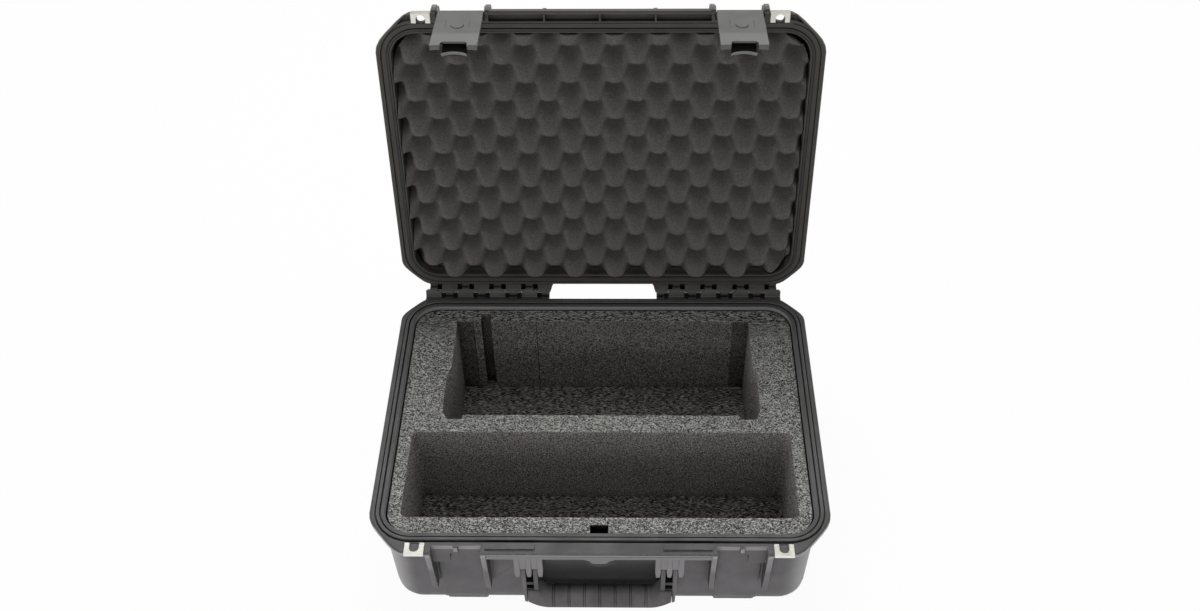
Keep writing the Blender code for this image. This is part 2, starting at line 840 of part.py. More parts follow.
def make_base():
    base = solid("base_shell", [base_profile()], case_plastic)
    bay = (latch_centre_x - latch_bay_half, latch_centre_x + latch_bay_half)
    outside = (-rib_front - overrun, -bay_front)
    bay_z = (flange_bottom - overrun, rim_height + overrun)
    cut(base, "base_bay_cutter", both_sides([box(bay, outside, bay_z)]))
    join(base, "base_ribs", latch_ribs(base_rib_outline()) + handle_posts() + foot_pads())
    apron_y = (-flange_front, -flange_front + web_thickness)
    apron = box((-apron_half_x, apron_half_x), apron_y, (rim_height - apron_drop, flange_bottom + overrun))
    join(base, "base_apron", [apron] + latch_panels())
    webs = box(
        (post_xs[0], post_xs[-1]),
        (-post_front + overrun / 2, -post_front + web_thickness - overrun / 2),
        (rim_height - web_drop, flange_bottom + overrun / 2),
    )
    bar_z = (flange_level - merge_in, flange_level + bar_rise)
    bars = box((bar_from_x, bar_to_x), (-bar_front, -bar_back), bar_z)
    join(base, "base_keepers", keeper_pads() + both_sides([webs, bars]))
    pegs = box(
        (keeper_peg_x - keeper_peg_half, keeper_peg_x + keeper_peg_half),
        (-keeper_peg_front, -bay_front + merge_in),
        (rim_height - keeper_peg_drops[1], rim_height - keeper_peg_drops[0]),
    )
    knuckles = [prism(knuckle_outline(up=False), "X", *slot) for slot in knuckle_slots(0)]
    tab_low = flange_level - knuckle_arm_clear - hinge_tab_depth
    tabs = [hinge_tab(slot, (tab_low, flange_level - knuckle_arm_clear)) for slot in knuckle_slots(1)]
    seat_z = rim_height - valve_drop
    seat_back = -inner_half_y - wall / 2
    seat = drum((0, seat_z), valve_seat_radius, "Y", -valve_seat_front, seat_back, disc_sides)
    join(base, "base_knuckles", both_sides([pegs] + knuckles + tabs) + [seat])
    join(base, "base_hinge_web", both_sides([hinge_web(base_web_reach, up=False)]))
    join(base, "base_knuckle_feet", both_sides(knuckle_feet(knuckle_slots(0), up=False)))
    cut(base, "base_knuckle_reliefs", both_sides(knuckle_reliefs(0, knuckle_relief_angle)))
    pocket_half = latch_bay_half - keeper_pocket_side
    pocket = box(
        (latch_centre_x - pocket_half, latch_centre_x + pocket_half),
        (-bay_front + keeper_lip, -keeper_pocket_back),
        (rim_height - keeper_depth - overrun, rim_height - keeper_depth + keeper_pocket_rise),
    )
    base_plate_low = flange_level - base_plate_height
    seats = plate_seat(base_plate_low, flange_level, base_plate_front, flange_bottom)
    cut(base, "base_plate_seats", seats + both_sides([pocket]))
    hinge_bore = drum(
        (hinge_y, rim_height),
        hinge_pin_radius + pin_gap,
        "X",
        hinge_inner_x - overrun,
        hinge_outer_x + overrun,
    )
    handle_bore = drum(
        (-handle_pivot_y, rim_height - handle_pivot_drop),
        handle_pin_radius + pin_gap,
        "X",
        post_xs[0] - post_half - overrun,
        post_xs[-1] + post_half + overrun,
    )
    valve_bore = drum((0, seat_z), valve_hole_radius, "Y", -valve_seat_front - overrun, -inner_half_y + wall)
    holes = padlock_holes(flange_bottom, flange_level, base_padlock_hole_y)
    cut(base, "base_bores", both_sides([hinge_bore, handle_bore]) + holes + [valve_bore])
    return base


def lid_profile():
    """Rings of the lid shell, from the middle of its ceiling down, round the rim and back over the top."""
    ceiling = rim_height + lid_inner_depth
    rings = [wall_ring(*station) for station in fillet(-lid_draft, ceiling, lid_ceiling_radius, -1)]
    seat = rim_height + gasket_groove_depth
    recess = rim_height + lid_recess_depth
    line = rim_height + lid_line_depth
    rim_stations = [
        (0, rim_height),
        (lid_lip_width, rim_height),
        (lid_lip_width, seat),
        (gasket_groove_outside, seat),
        (gasket_groove_outside, recess),
        (lid_recess_outside, recess),
        (lid_recess_outside, line),
        (lid_line_outside, line),
        (lid_line_outside, rim_height),
    ]
    rings += [wall_ring(*station) for station in rim_stations]
    rings += [
        lid_flange_ring(flange_edge, rim_height),
        lid_flange_ring(0, rim_height + flange_edge),
        lid_flange_ring(0, lid_flange_top - flange_edge),
        lid_flange_ring(flange_edge, lid_flange_top),
        wall_ring(wall, lid_flange_top),
    ]
    over = fillet(wall - lid_draft, lid_top, lid_edge_radius, -1)
    rings += [wall_ring(*station) for station in reversed(over)]
    return rings


def lid_rib_outline():
    inside = -inner_half_y - wall / 2
    beyond_grooves = -inner_half_y - lid_line_outside - overrun
    outline = [(inside, lid_flange_top - overrun), (beyond_grooves, lid_flange_top - overrun)]
    outline.append((beyond_grooves, rim_height + lid_rib_heights[0]))
    for height, setback in zip(lid_rib_heights, lid_rib_setbacks):
        outline.append((-rib_front + setback, rim_height + height))
    outline.append((inside, rim_height + lid_rib_heights[-1]))
    return outline


def lid_pockets():
    """Blind pockets in the rim face of the front flange, parted by thin dividers."""
    pitch = 2 * pocket_outer_x / pockets
    lofts = []
    for index in range(pockets):
        low = -pocket_outer_x + index * pitch
        high = low + pitch
        low += pocket_divider / 2 if index else 0
        high -= pocket_divider / 2 if index < pockets - 1 else 0
        z_range = (rim_height - overrun, rim_height + pocket_depth)
        lofts.append(box((low, high), (-pocket_front, -pocket_back), z_range))
    return lofts


def stop_ribs():
    inside = -inner_half_y - wall / 2
    low, high, root = (rim_height + height for height in stop_rib_heights)
    outline = [(inside, low), (-stop_rib_front, low), (-stop_rib_front, high), (inside, root)]
    half = stop_rib_thickness / 2
    return both_sides([prism(outline, "X", stop_rib_x - half, stop_rib_x + half)])


def make_lid(lid_axis):
    lid = solid("lid_shell", [lid_profile()], lid_plastic, hinge_place, lid_axis)
    bay = (latch_centre_x - latch_bay_half, latch_centre_x + latch_bay_half)
    outside = (-rib_front - overrun, -bay_front)
    bay_z = (rim_height - overrun, lid_flange_top + overrun)
    cut(lid, "lid_bay_cutter", both_sides([box(bay, outside, bay_z)]))
    join(lid, "lid_ribs", latch_ribs(lid_rib_outline()) + stop_ribs())
    knuckles = [prism(knuckle_outline(up=True), "X", *slot) for slot in knuckle_slots(1)]
    tab_range = (rim_height + knuckle_arm_clear, lid_flange_top - knuckle_arm_clear)
    tabs = [hinge_tab(slot, tab_range) for slot in knuckle_slots(0)]
    skin = box(
        (-pocket_outer_x, pocket_outer_x),
        (-front_skin_front, -lid_front + merge_in),
        (rim_height + flange_edge, lid_flange_top - flange_edge),
    )
    join(lid, "lid_knuckles", both_sides(knuckles + tabs) + [skin])
    join(lid, "lid_hinge_web", both_sides([hinge_web(lid_web_reach, up=True)]))
    join(lid, "lid_knuckle_feet", both_sides(knuckle_feet(knuckle_slots(1), up=True)))
    corner_cut = [
        (hinge_inner_x - overrun, flange_back + overrun),
        (hinge_inner_x - overrun, hinge_y + 2 * knuckle_radius),
        (hinge_inner_x + hinge_end_cut, hinge_y + 2 * knuckle_radius),
        (hinge_inner_x + hinge_end_cut, hinge_y),
        (hinge_inner_x, flange_back + overrun),
    ]
    ends = prism(corner_cut, "Z", rim_height - 2 * knuckle_radius, rim_height + 2 * knuckle_radius)
    reliefs = knuckle_reliefs(1, pi + knuckle_relief_angle + lid_open_angle)
    cut(lid, "lid_knuckle_reliefs", both_sides(reliefs))
    cut(lid, "lid_knuckle_ends", both_sides([ends]))
    outline = [(flange_half_x - side, front - flange_front) for side, front in corner_pocket_insets]
    corner = prism(outline, "Z", rim_height - overrun, rim_height + corner_pocket_depth)
    seats = plate_seat(rim_height + fit_gap, lid_flange_top, plate_front, rim_height)
    cut(lid, "lid_plate_seats", seats + lid_pockets())
    cut(lid, "lid_corner_pockets", both_sides([corner]))
    hinge_bore = drum(
        (hinge_y, rim_height),
        hinge_pin_radius + pin_gap,
        "X",
        hinge_inner_x - overrun,
        hinge_outer_x + overrun,
    )
    outer = latch_bay_half + rib_thickness + overrun
    latch_bore = drum(
        (-latch_pivot_y, rim_height + latch_pivot_height),
        latch_pin_radius + pin_gap,
        "X",
        latch_centre_x - outer,
        latch_centre_x + outer,
    )
    holes = padlock_holes(rim_height, lid_flange_top, lid_padlock_hole_y)
    cut(lid, "lid_bores", both_sides([hinge_bore, latch_bore]) + holes)
    return lid


def make_gasket(lid_axis):
    """A closed band in the lid's groove, made by joining its four corner rings into a loop."""
    inside = lid_lip_width + fit_gap
    outside = gasket_groove_outside - fit_gap
    low, high = rim_height - fit_gap, rim_height + gasket_groove_depth - fit_gap
    stations = [(inside, low), (outside, low), (outside, high), (inside, high)]
    bm = bmesh.new()
    loops = []
    for offset, z in stations:
        loops.append([bm.verts.new(Vector(point) - hinge_place) for point in wall_ring(offset, z)])
    for low_loop, high_loop in zip(loops, loops[1:] + loops[:1]):
        for i, corner in enumerate(low_loop):
            after = (i + 1) % len(low_loop)
            bm.faces.new((corner, low_loop[after], high_loop[after], high_loop[i]))
    bmesh.ops.recalc_face_normals(bm, faces=bm.faces)
    mesh = bpy.data.meshes.new("lid_gasket")
    bm.to_mesh(mesh)
    bm.free()
    mesh.materials.append(seal_rubber)
    return attach(bpy.data.objects.new("lid_gasket", mesh), hinge_place, lid_axis)


def pin(name, centre_yz, radius, x_range, parent=None):
    """A steel rod along X with its origin on its own axis."""
    place = (sum(x_range) / 2, *centre_yz)
    return solid(name, [drum(centre_yz, radius, "X", *x_range, pin_sides)], steel, place, parent)


def make_hinge_pins():
    inner = hinge_inner_x + hinge_end_cut
    for side, name in ((-1, "left"), (1, "right")):
        ends = sorted((side * inner, side * (hinge_outer_x - overrun)))
        pin(f"hinge_pin_{name}", (hinge_y, rim_height), hinge_pin_radius, ends)


def latch_skin_outline():
    """The latch's outer plate in (x, z) about its middle line, with the finger notch at its lower edge."""
    low, high = rim_height - latch_bottom, rim_height + latch_top
    notch_top = low + latch_notch_height
    right = [(latch_notch_half, low), (latch_notch_half, notch_top - latch_notch_round)]
    right.append((latch_notch_half - latch_notch_round, notch_top))
    left = [(-x, z) for x, z in reversed(right)]
    sides = [(-latch_half_width, low), (-latch_half_width, high)]
    sides += [(latch_half_width, high), (latch_half_width, low)]
    return right + left + sides


def make_latch(side, name, lid_axis):
    """A latch body on its own axis empty, and the pin that carries it."""
    middle = side * latch_centre_x
    place = Vector((middle, -latch_pivot_y, rim_height + latch_pivot_height))
    axis = axis_empty(f"latch_axis_{name}", place, lid_axis)
    skin = [(middle + x, z) for x, z in latch_skin_outline()]
    body = solid(
        f"latch_plate_{name}",
        [prism(skin, "Y", -latch_front, -latch_front + latch_skin)],
        latch_plastic,
        place,
        axis,
    )
    low, high = rim_height - latch_bottom, rim_height + latch_top
    inside = -latch_front + latch_skin / 2
    lofts = []
    for way in (-1, 1):
        outer = middle + way * (latch_half_width - fit_gap)
        inner = outer - way * latch_side
        notch = middle + way * (latch_notch_half + fit_gap)
        side_y = (inside, -latch_front + latch_side_depth)
        lofts.append(box(sorted((outer, inner)), side_y, (low + fit_gap, high - fit_gap)))
        bracket = notch + way * trigger_bracket
        pivot = rim_height - trigger_pivot_drop
        bracket_z = (pivot - trigger_bracket_half, pivot + trigger_bracket_half)
        lofts.append(
            box(sorted((notch, bracket)), (inside, -trigger_pivot_y + trigger_bracket_reach), bracket_z)
        )
    join(body, f"latch_sides_{name}", lofts)
    ends = []
    for way in (-1, 1):
        outer = middle + way * (latch_half_width - latch_side / 2)
        notch = middle + way * (latch_notch_half + fit_gap)
        end_z = (low + fit_gap, low + fit_gap + latch_end)
        ends.append(box(sorted((outer, notch)), (inside, -latch_front + latch_end_depth), end_z))
    pivot_y, pivot_z = -latch_pivot_y, rim_height + latch_pivot_height
    web = [
        (-latch_front + overrun / 2, high - latch_web_drop),
        (-latch_front + overrun / 2, high - overrun / 2),
        (pivot_y - latch_barrel_radius, pivot_z),
        (pivot_y, pivot_z + latch_barrel_radius),
        (pivot_y, pivot_z - latch_barrel_radius),
        (pivot_y - latch_barrel_radius, high - overrun),
        (-latch_front + latch_skin, high - latch_web_drop),
    ]
    reach = latch_half_width - latch_barrel_end_gap
    ends.append(prism(web, "X", middle - reach, middle + reach))
    join(body, f"latch_ends_{name}", ends)
    barrel_half = reach + overrun
    barrel = drum((pivot_y, pivot_z), latch_barrel_radius, "X", middle - barrel_half, middle + barrel_half)
    boss = drum(
        (middle, rim_height - latch_boss_drop),
        latch_boss_radius,
        "Y",
        -latch_front - latch_boss_rise,
        inside,
        latch_boss_sides,
    )
    join(body, f"latch_barrel_{name}", [barrel, boss])
    far = latch_bay_half + rib_thickness
    bore = drum((pivot_y, pivot_z), latch_pin_radius + pin_gap, "X", middle - far, middle + far)
    small = (-trigger_pivot_y, rim_height - trigger_pivot_drop)
    inner_bore = drum(small, trigger_pin_radius + pin_gap, "X", middle - far, middle + far)
    clip = latch_half_width - latch_side - overrun
    for ring, x in zip(inner_bore, (middle - clip, middle + clip)):
        ring[:] = [(x, y, z) for _, y, z in ring]
    cut(body, f"latch_bores_{name}", [bore, inner_bore])
    pin_ends = (middle - far + overrun / 2, middle + far - overrun / 2)
    pin(f"latch_pin_{name}", (pivot_y, pivot_z), latch_pin_radius, pin_ends, lid_axis)
    return axis


def trigger_outline():
    """The trigger lever in (y, z): barbed catch at the top, pivot in the middle, finger lip below."""
    pivot_y, pivot_z = -trigger_pivot_y, rim_height - trigger_pivot_drop
    hook_z = rim_height - hook_top_drop
    back = pivot_y + trigger_barrel_radius
    front = back - trigger_thickness
    scoop_top, scoop_low = (rim_height - drop for drop in scoop_drops)
    lip_z = rim_height - lip_drop_at_side
    barb_z = rim_height - barb_top_drop
    return [
        (-barb_outer_y, barb_z),
        (-barb_inner_y, barb_z - barb_bevel),
        (-barb_inner_y, hook_z - hook_thickness),
        (back, hook_z - 2 * hook_thickness),
        (back, scoop_top),
        (-scoop_y + lip_thickness, scoop_low),
        (-lip_y + lip_thickness, lip_z),
        (-lip_y, lip_z - lip_thickness / 2),
        (-scoop_y, scoop_low),
        (front, scoop_top),
        (pivot_y - trigger_barrel_radius / sqrt(2), pivot_z - trigger_barrel_radius / sqrt(2)),
        (pivot_y - trigger_barrel_radius, pivot_z),
        (pivot_y - trigger_barrel_radius / sqrt(2), pivot_z + trigger_barrel_radius / sqrt(2)),
        (front, pivot_z + 2 * trigger_barrel_radius),
        (front, hook_z - hook_thickness / 2),
        (front + hook_thickness / 2, hook_z),
        (-barb_outer_y, hook_z),
    ]


def tube(points, radius, sides):
    """Rings of an unbroken tube along points, carried along with the least twist."""
    path = [Vector(point) for point in points]
    rings = []
    across = None
    for i, point in enumerate(path):
        ahead = (path[min(i + 1, len(path) - 1)] - path[max(i - 1, 0)]).normalized()
        across = ahead.orthogonal() if across is None else across - ahead * across.dot(ahead)
        across.normalize()
        other = ahead.cross(across)
        turns = [2 * pi * side / sides for side in range(sides)]
        rings.append([tuple(point + radius * (cos(a) * across + sin(a) * other)) for a in turns])
    return rings


def spring_route(middle):
    """Points of the torsion spring round the trigger pin, with a long and a short leg."""
    pivot_y, pivot_z = -trigger_pivot_y, rim_height - trigger_pivot_drop
    start = middle - spring_pitch * spring_turns / 2
    points = [(start, pivot_y - spring_coil_radius, pivot_z - spring_leg)]
    steps = spring_turns * spring_points + spring_points // 2
    for step in range(steps + 1):
        angle = 2 * pi * step / spring_points
        x = start + spring_pitch * step / spring_points
        y = pivot_y - spring_coil_radius * cos(angle)
        points.append((x, y, pivot_z + spring_coil_radius * sin(angle)))
    last = points[-1]
    points.append((last[0], last[1], last[2] - spring_short_leg))
    return points


def least_gap(points, radius, apart):
    """The least clear distance between stretches of a tube that lie more than so many points apart."""
    path = [Vector(point) for point in points]
    found = []
    for i, first in enumerate(path):
        found += [(second - first).length for second in path[i + apart :]]
    return min(found) - 2 * radius


def make_trigger(side, name, latch_axis):
    middle = side * latch_centre_x
    pivot = Vector((middle, -trigger_pivot_y, rim_height - trigger_pivot_drop))
    axis = axis_empty(f"trigger_axis_{name}", pivot, latch_axis)
    x_range = (middle - trigger_half_width, middle + trigger_half_width)
    trigger = solid(
        f"latch_trigger_{name}", [prism(trigger_outline(), "X", *x_range)], trigger_plastic, pivot, axis
    )
    spring_room = box(
        (middle - trigger_spring_half, middle + trigger_spring_half),
        (pivot.y - trigger_spring_reach, pivot.y + trigger_spring_reach),
        (pivot.z - trigger_spring_reach, pivot.z + trigger_spring_reach),
    )
    cut(trigger, f"spring_room_{name}", [spring_room])
    reach = trigger_half_width + overrun
    bore = drum((pivot.y, pivot.z), trigger_pin_radius + pin_gap, "X", middle - reach, middle + reach)
    cut(trigger, f"trigger_bore_{name}", [bore])
    pin_reach = latch_notch_half + trigger_bracket
    pin_ends = (middle - pin_reach, middle + pin_reach)
    pin(f"trigger_pin_{name}", (pivot.y, pivot.z), trigger_pin_radius, pin_ends, latch_axis)
    route = spring_route(middle)
    solid(f"trigger_spring_{name}", [tube(route, spring_wire_radius, spring_sides)], steel, pivot, latch_axis)
    gap = least_gap(route[1:-1], spring_wire_radius, spring_points // 2 + 1)
    print(f"trigger_spring_{name}: least gap to itself {gap * 1000:.2f} mm")


def core_outline(grow):
    """The stiff core inside the grip in (x, z): a shallow U, grown by a gap where the grip is hollowed."""
    side = core_half_x + grow
    low = rim_height - core_bottom - grow
    bar = rim_height - core_bar_top + grow
    inner = rail_inner[0] - grow
    top = rim_height - grip_shoulder + merge_in + grow
    right = [
        (side, top),
        (side, low + core_corner),
        (side - core_corner, low),
    ]
    inner_right = [(inner - core_inner_corner, bar), (inner, bar + core_inner_corner), (inner, top)]
    left = [(-x, z) for x, z in reversed(right)]
    inner_left = [(-x, z) for x, z in reversed(inner_right)]
    return right + left + inner_left + inner_right


def make_handle():
    place = Vector((0, -handle_pivot_y, rim_height - handle_pivot_drop))
    axis = axis_empty("handle_axis", place)
    frame = solid(
        "handle_frame",
        [prism(core_outline(0), "Y", -core_front, -core_back)],
        case_plastic,
        place,
        axis,
    )
    front, back = -handle_pivot_y - rail_half_depth, -handle_pivot_y + rail_half_depth
    rails = []
    for x_range, end_drop in ((rail_inner, grip_shoulder), (rail_outer, arm_end_drop)):
        end = rim_height - end_drop
        crown = arc((-handle_pivot_y, place.z), rail_half_depth, 0, pi, rail_top_steps)
        rails.append(prism(crown + [(front, end), (back, end)], "X", *x_range))
    far = rails[1][1]
    far[-2:] = [(x - arm_end_taper, y, z + arm_end_taper) for x, y, z in far[-2:]]
    join(frame, "handle_rails", both_sides(rails))
    ties = []
    for drops in (middle_tie_drops, shoulder_tie_drops):
        z_range = (rim_height - drops[1] + overrun / 4, rim_height - drops[0])
        x_range = (rail_inner[0] + overrun, rail_outer[1] - overrun)
        ties.append(box(x_range, (front + tie_setback, back - tie_setback), z_range))
    join(frame, "handle_ties", both_sides(ties))
    bore = drum(
        (-handle_pivot_y, place.z),
        handle_pin_radius + pin_gap,
        "X",
        rail_inner[0] - overrun,
        rail_outer[1] + overrun,
    )
    cut(frame, "handle_bores", both_sides([bore]))
    for side, name in ((-1, "left"), (1, "right")):
        ends = sorted((side * (post_xs[0] - post_half + fit_gap), side * (post_xs[-1] + post_half - fit_gap)))
        pin(f"handle_pin_{name}", (-handle_pivot_y, place.z), handle_pin_radius, ends)
    make_grip(place, axis)


def grip_section(x):
    """The grip's cross-section in (y, z) at a distance along its bar."""
    run = min(max((abs(x) - grip_curve_from) / (grip_curve_to - grip_curve_from), 0), 1)
    rise = run * run
    turn = min(max((abs(x) - grip_round_from) / (grip_half_x - grip_round_from), 0), 1)
    low = rim_height - grip_bottom + grip_round_height * turn * turn
    shoulder = rim_height - grip_shoulder - fit_gap
    face_top = rim_height - grip_face_top
    crown = rim_height - grip_crown
    front, back = -grip_front, -grip_back
    near, middle, far = (front + (back - front) * share for share in grip_top_shares)

    def lifted(level, end):
        return level + (end - level) * rise

    return [
        (front + grip_edge, low),
        (front, low + grip_edge),
        (front, lifted(face_top, shoulder - grip_edge)),
        (near, lifted((face_top + crown) / 2, shoulder)),
        (middle, lifted(crown - grip_edge / 2, shoulder)),
        (far, lifted(crown, shoulder)),
        (back - grip_edge / 2, lifted(crown - grip_edge, shoulder)),
        (back, lifted(crown - 2 * grip_edge, shoulder - grip_edge)),
        (back, low + grip_edge),
        (back - grip_edge, low),
    ]


def make_grip(place, axis):
    curve = grip_curve_to - grip_curve_from
    turn = grip_half_x - grip_round_from
    half = [grip_curve_from + curve * share for share in grip_curve_shares]
    half += [grip_round_from + turn * share for share in grip_round_shares]
    stations = sorted([-x for x in half] + half)
    rings = [[(x, y, z) for y, z in grip_section(x)] for x in stations]
    grip = solid("handle_grip", [rings], grip_rubber, place, axis)
    hollow = prism(core_outline(fit_gap), "Y", -core_front - fit_gap, -core_back + fit_gap)
    cut(grip, "grip_hollow", [hollow])


def make_padlock_plates(lid_axis):
    """Four folded plates: each wraps a tongue of flange and has a slot round the padlock hole."""
    levels = (
        ("base", flange_level - base_plate_height, flange_level, None, (0, 0, 0)),
        ("lid", rim_height + fit_gap, lid_flange_top, lid_axis, hinge_place),
    )
    edges = {
        "base": (base_plate_front, base_padlock_hole_y),
        "lid": (plate_front, lid_padlock_hole_y),
    }
    for part, low, high, parent, place in levels:
        front, hole_y = edges[part]
        for side, name in ((-1, "left"), (1, "right")):
            x_range = (plate_centre_x - plate_half_x, plate_centre_x + plate_half_x)
            fold = mirrored([prism(plate_fold(low, high, front, plate_thickness), "X", *x_range)], side)
            plate = solid(f"padlock_plate_{part}_{name}", fold, steel, place, parent)
            slot = arc((plate_centre_x, -hole_y), padlock_hole_radius, pi, pi, slot_round_steps)
            slot += [
                (plate_centre_x + padlock_hole_radius, -plate_back + overrun),
                (plate_centre_x - padlock_hole_radius, -plate_back + overrun),
            ]
            cutter = mirrored([prism(slot, "Z", low - overrun, high + overrun)], side)
            cut(plate, f"padlock_slot_{part}_{name}", cutter)


def make_valve():
    """Body outside, cap on its face, seal behind it, and the nut inside the case."""
    centre = (0, rim_height - valve_drop)
    seat = -valve_seat_front
    seal_front = seat - valve_clamp_gap - valve_seal_thickness
    disc_back = seal_front - valve_clamp_gap
    disc_front = disc_back - valve_thickness
    place = (0, seat, centre[1])
    disc = drum(centre, valve_radius, "Y", disc_front, disc_back, disc_sides)
    body = solid("valve_body", [disc], case_plastic, place)
    join(body, "valve_stem", [drum(centre, valve_stem_radius, "Y", disc_back - overrun, -valve_stem_back)])
    cap_back = disc_front - fit_gap
    cap = drum(centre, valve_cap_radius, "Y", cap_back - valve_cap_thickness, cap_back, disc_sides)
    solid("valve_cap", [cap], trigger_plastic, place)
    ring = drum(centre, valve_seal_radius, "Y", seal_front, seat - valve_clamp_gap, disc_sides)
    seal = solid("valve_seal", [ring], seal_rubber, place)
    bore = drum(centre, valve_stem_radius + fit_gap, "Y", seal_front - overrun, seat + overrun)
    cut(seal, "valve_seal_bore", [bore])
    nut_front = -inner_half_y + valve_clamp_gap + base_draft / 2
    nut_back = nut_front + valve_nut_thickness
    nut = drum(centre, valve_nut_radius, "Y", nut_front, nut_back, nut_sides)
    nut_node = solid("valve_nut", [nut], trigger_plastic, place)
    bore = drum(centre, valve_stem_radius + fit_gap, "Y", nut_front - overrun, nut_back + overrun)
    cut(nut_node, "valve_nut_bore", [bore])


def foam_stations(low, high):
    """Stations of a foam piece that keeps clear of the base's floor fillet and drafted walls."""
    curve = fillet(-base_draft, floor_top, base_floor_radius, 1)
    lip = rim_height - lip_drop
    curve.append((0, lip))

    def offset_at(z):
        for (o0, z0), (o1, z1) in zip(curve, curve[1:]):
            if z0 <= z <= z1:
                return o0 + (o1 - o0) * (z - z0) / (z1 - z0)
        return 0

    levels = [low] + [z for _, z in curve if low < z < high] + [high]
    return [(offset_at(z) - foam_side_gap, z) for z in levels]


def rear_cavity_outline():
    """The mixer's cavity in (x, y): stepped sides, toes at the front and a slot in the back wall."""
    wide, narrow = rear_cavity_wide_half_x, rear_cavity_half_x
    toe_y = rear_cavity_front - rear_cavity_toe_depth
    right = [
        (rear_cavity_toe_x, rear_cavity_front),
        (rear_cavity_toe_x, toe_y),
        (wide - rear_cavity_toe_depth, toe_y),
        (wide, toe_y + 2 * rear_cavity_toe_depth),
        (wide, rear_cavity_jog_y - rear_cavity_jog_run),
        (narrow, rear_cavity_jog_y),
        (narrow, rear_cavity_back),
    ]
    left = [(-x, y) for x, y in reversed(right)]
    slot = [(-slot_from_x, rear_cavity_back), (-slot_from_x, slot_back)]
    slot += [(-slot_to_x, slot_back), (-slot_to_x, rear_cavity_back)]
    return right + slot + left


def front_cavity_outline():
    corner = front_cavity_corner
    points = []
    for side, y, start in ((1, front_cavity_back, 0), (-1, front_cavity_back, pi / 2)):
        centre = (side * (front_cavity_half_x - corner), y - corner)
        points += arc(centre, corner, start, pi / 2, cavity_corner_steps)
    for side, y, start in ((-1, front_cavity_front, pi), (1, front_cavity_front, 3 * pi / 2)):
        centre = (side * (front_cavity_half_x - corner), y + corner)
        points += arc(centre, corner, start, pi / 2, cavity_corner_steps)
    return points


def make_base_foam():
    pad_top = floor_top + floor_pad_thickness
    pad = [wall_ring(*station) for station in foam_stations(floor_top + fit_gap, pad_top)]
    solid("base_foam_floor", [pad], floor_foam)
    block_low, block_high = pad_top + fit_gap, rim_height - foam_drop
    rings = [wall_ring(*station) for station in foam_stations(block_low, block_high)]
    block = solid("base_foam_block", [rings], block_foam)
    z_range = (block_low - overrun, block_high + overrun)
    cavities = [prism(rear_cavity_outline(), "Z", *z_range), prism(front_cavity_outline(), "Z", *z_range)]
    cavities.append(
        box(
            (-notch_half_x, notch_half_x),
            (-inner_half_y - overrun, -notch_back),
            (rim_height - notch_depth, z_range[1]),
        )
    )
    cut(block, "foam_cavities", cavities)


def egg_level(x, y):
    """Height of the egg-crate surface: peaks hang just below the lid's rim, every second row is shifted."""
    wave = cos(2 * pi * (x - egg_phase_x) / egg_pitch_x) * cos(2 * pi * (y - egg_phase_y) / egg_pitch_y)
    return rim_height - egg_peak + egg_height * (1 - wave) / 2


def egg_lines(phase, pitch, half):
    """Lines through the peaks and dips, from just past one edge of the foam to just past the other."""
    spacing = pitch / 2
    first = floor((-half - phase) / spacing)
    last = ceil((half - phase) / spacing)
    return [phase + spacing * index for index in range(first, last + 1)]


def make_lid_foam(lid_axis):
    """Foam that fills the lid, cut from below by a lattice of peaks and dips with a midpoint in each cell."""
    ceiling = fillet(-lid_draft, rim_height + lid_inner_depth, lid_ceiling_radius, -1)
    stations = [(0, rim_height - egg_peak - overrun)]
    stations += [(offset, z - lid_foam_back_gap) for offset, z in reversed(ceiling)]
    rings = [wall_ring(offset - lid_foam_gap, z) for offset, z in stations]
    foam = solid("lid_foam", [rings], egg_foam, hinge_place, lid_axis)
    xs = egg_lines(egg_phase_x, egg_pitch_x, inner_half_x)
    ys = egg_lines(egg_phase_y, egg_pitch_y, inner_half_y)
    under = rim_height - egg_peak - merge_in
    bm = bmesh.new()
    faces = []
    for level in (lambda x, y: under, egg_level):
        rows = [[bm.verts.new(Vector((x, y, level(x, y))) - hinge_place) for y in ys] for x in xs]
        faces.append([])
        for near, far in zip(rows, rows[1:]):
            for i in range(len(ys) - 1):
                faces[-1].append(bm.faces.new((near[i], far[i], far[i + 1], near[i + 1])))
    bmesh.ops.bridge_loops(bm, edges=[edge for edge in bm.edges if edge.is_boundary])
    poked = bmesh.ops.poke(bm, faces=faces[-1])
    for vert in poked["verts"]:
        place = vert.co + hinge_place
        vert.co.z = egg_level(place.x, place.y) - rim_height
    bmesh.ops.recalc_face_normals(bm, faces=bm.faces)
    mesh = bpy.data.meshes.new("egg_crate_cutter")
    bm.to_mesh(mesh)
    bm.free()
    helper = attach(bpy.data.objects.new("egg_crate_cutter", mesh), hinge_place, lid_axis)
    helper.hide_render = True
    helper.display_type = "WIRE"
    combine(foam, helper, "DIFFERENCE")
    return foam


def apply_cuts():
    """Makes every cut and union final, drops the helpers, and shades round stretches smooth."""
    graph = bpy.context.evaluated_depsgraph_get()
    pieces = [obj for obj in bpy.data.objects if obj.type == "MESH" and not obj.hide_render]
    made = [bpy.data.meshes.new_from_object(obj.evaluated_get(graph)) for obj in pieces]
    for obj, mesh in zip(pieces, made):
        obj.modifiers.clear()
        obj.data = mesh
        mesh.name = obj.name
        mesh.shade_smooth()
        mesh.set_sharp_from_angle(angle=smooth_bend)
    for helper in [obj for obj in bpy.data.objects if obj.type == "MESH" and obj.hide_render]:
        bpy.data.objects.remove(helper, do_unlink=True)


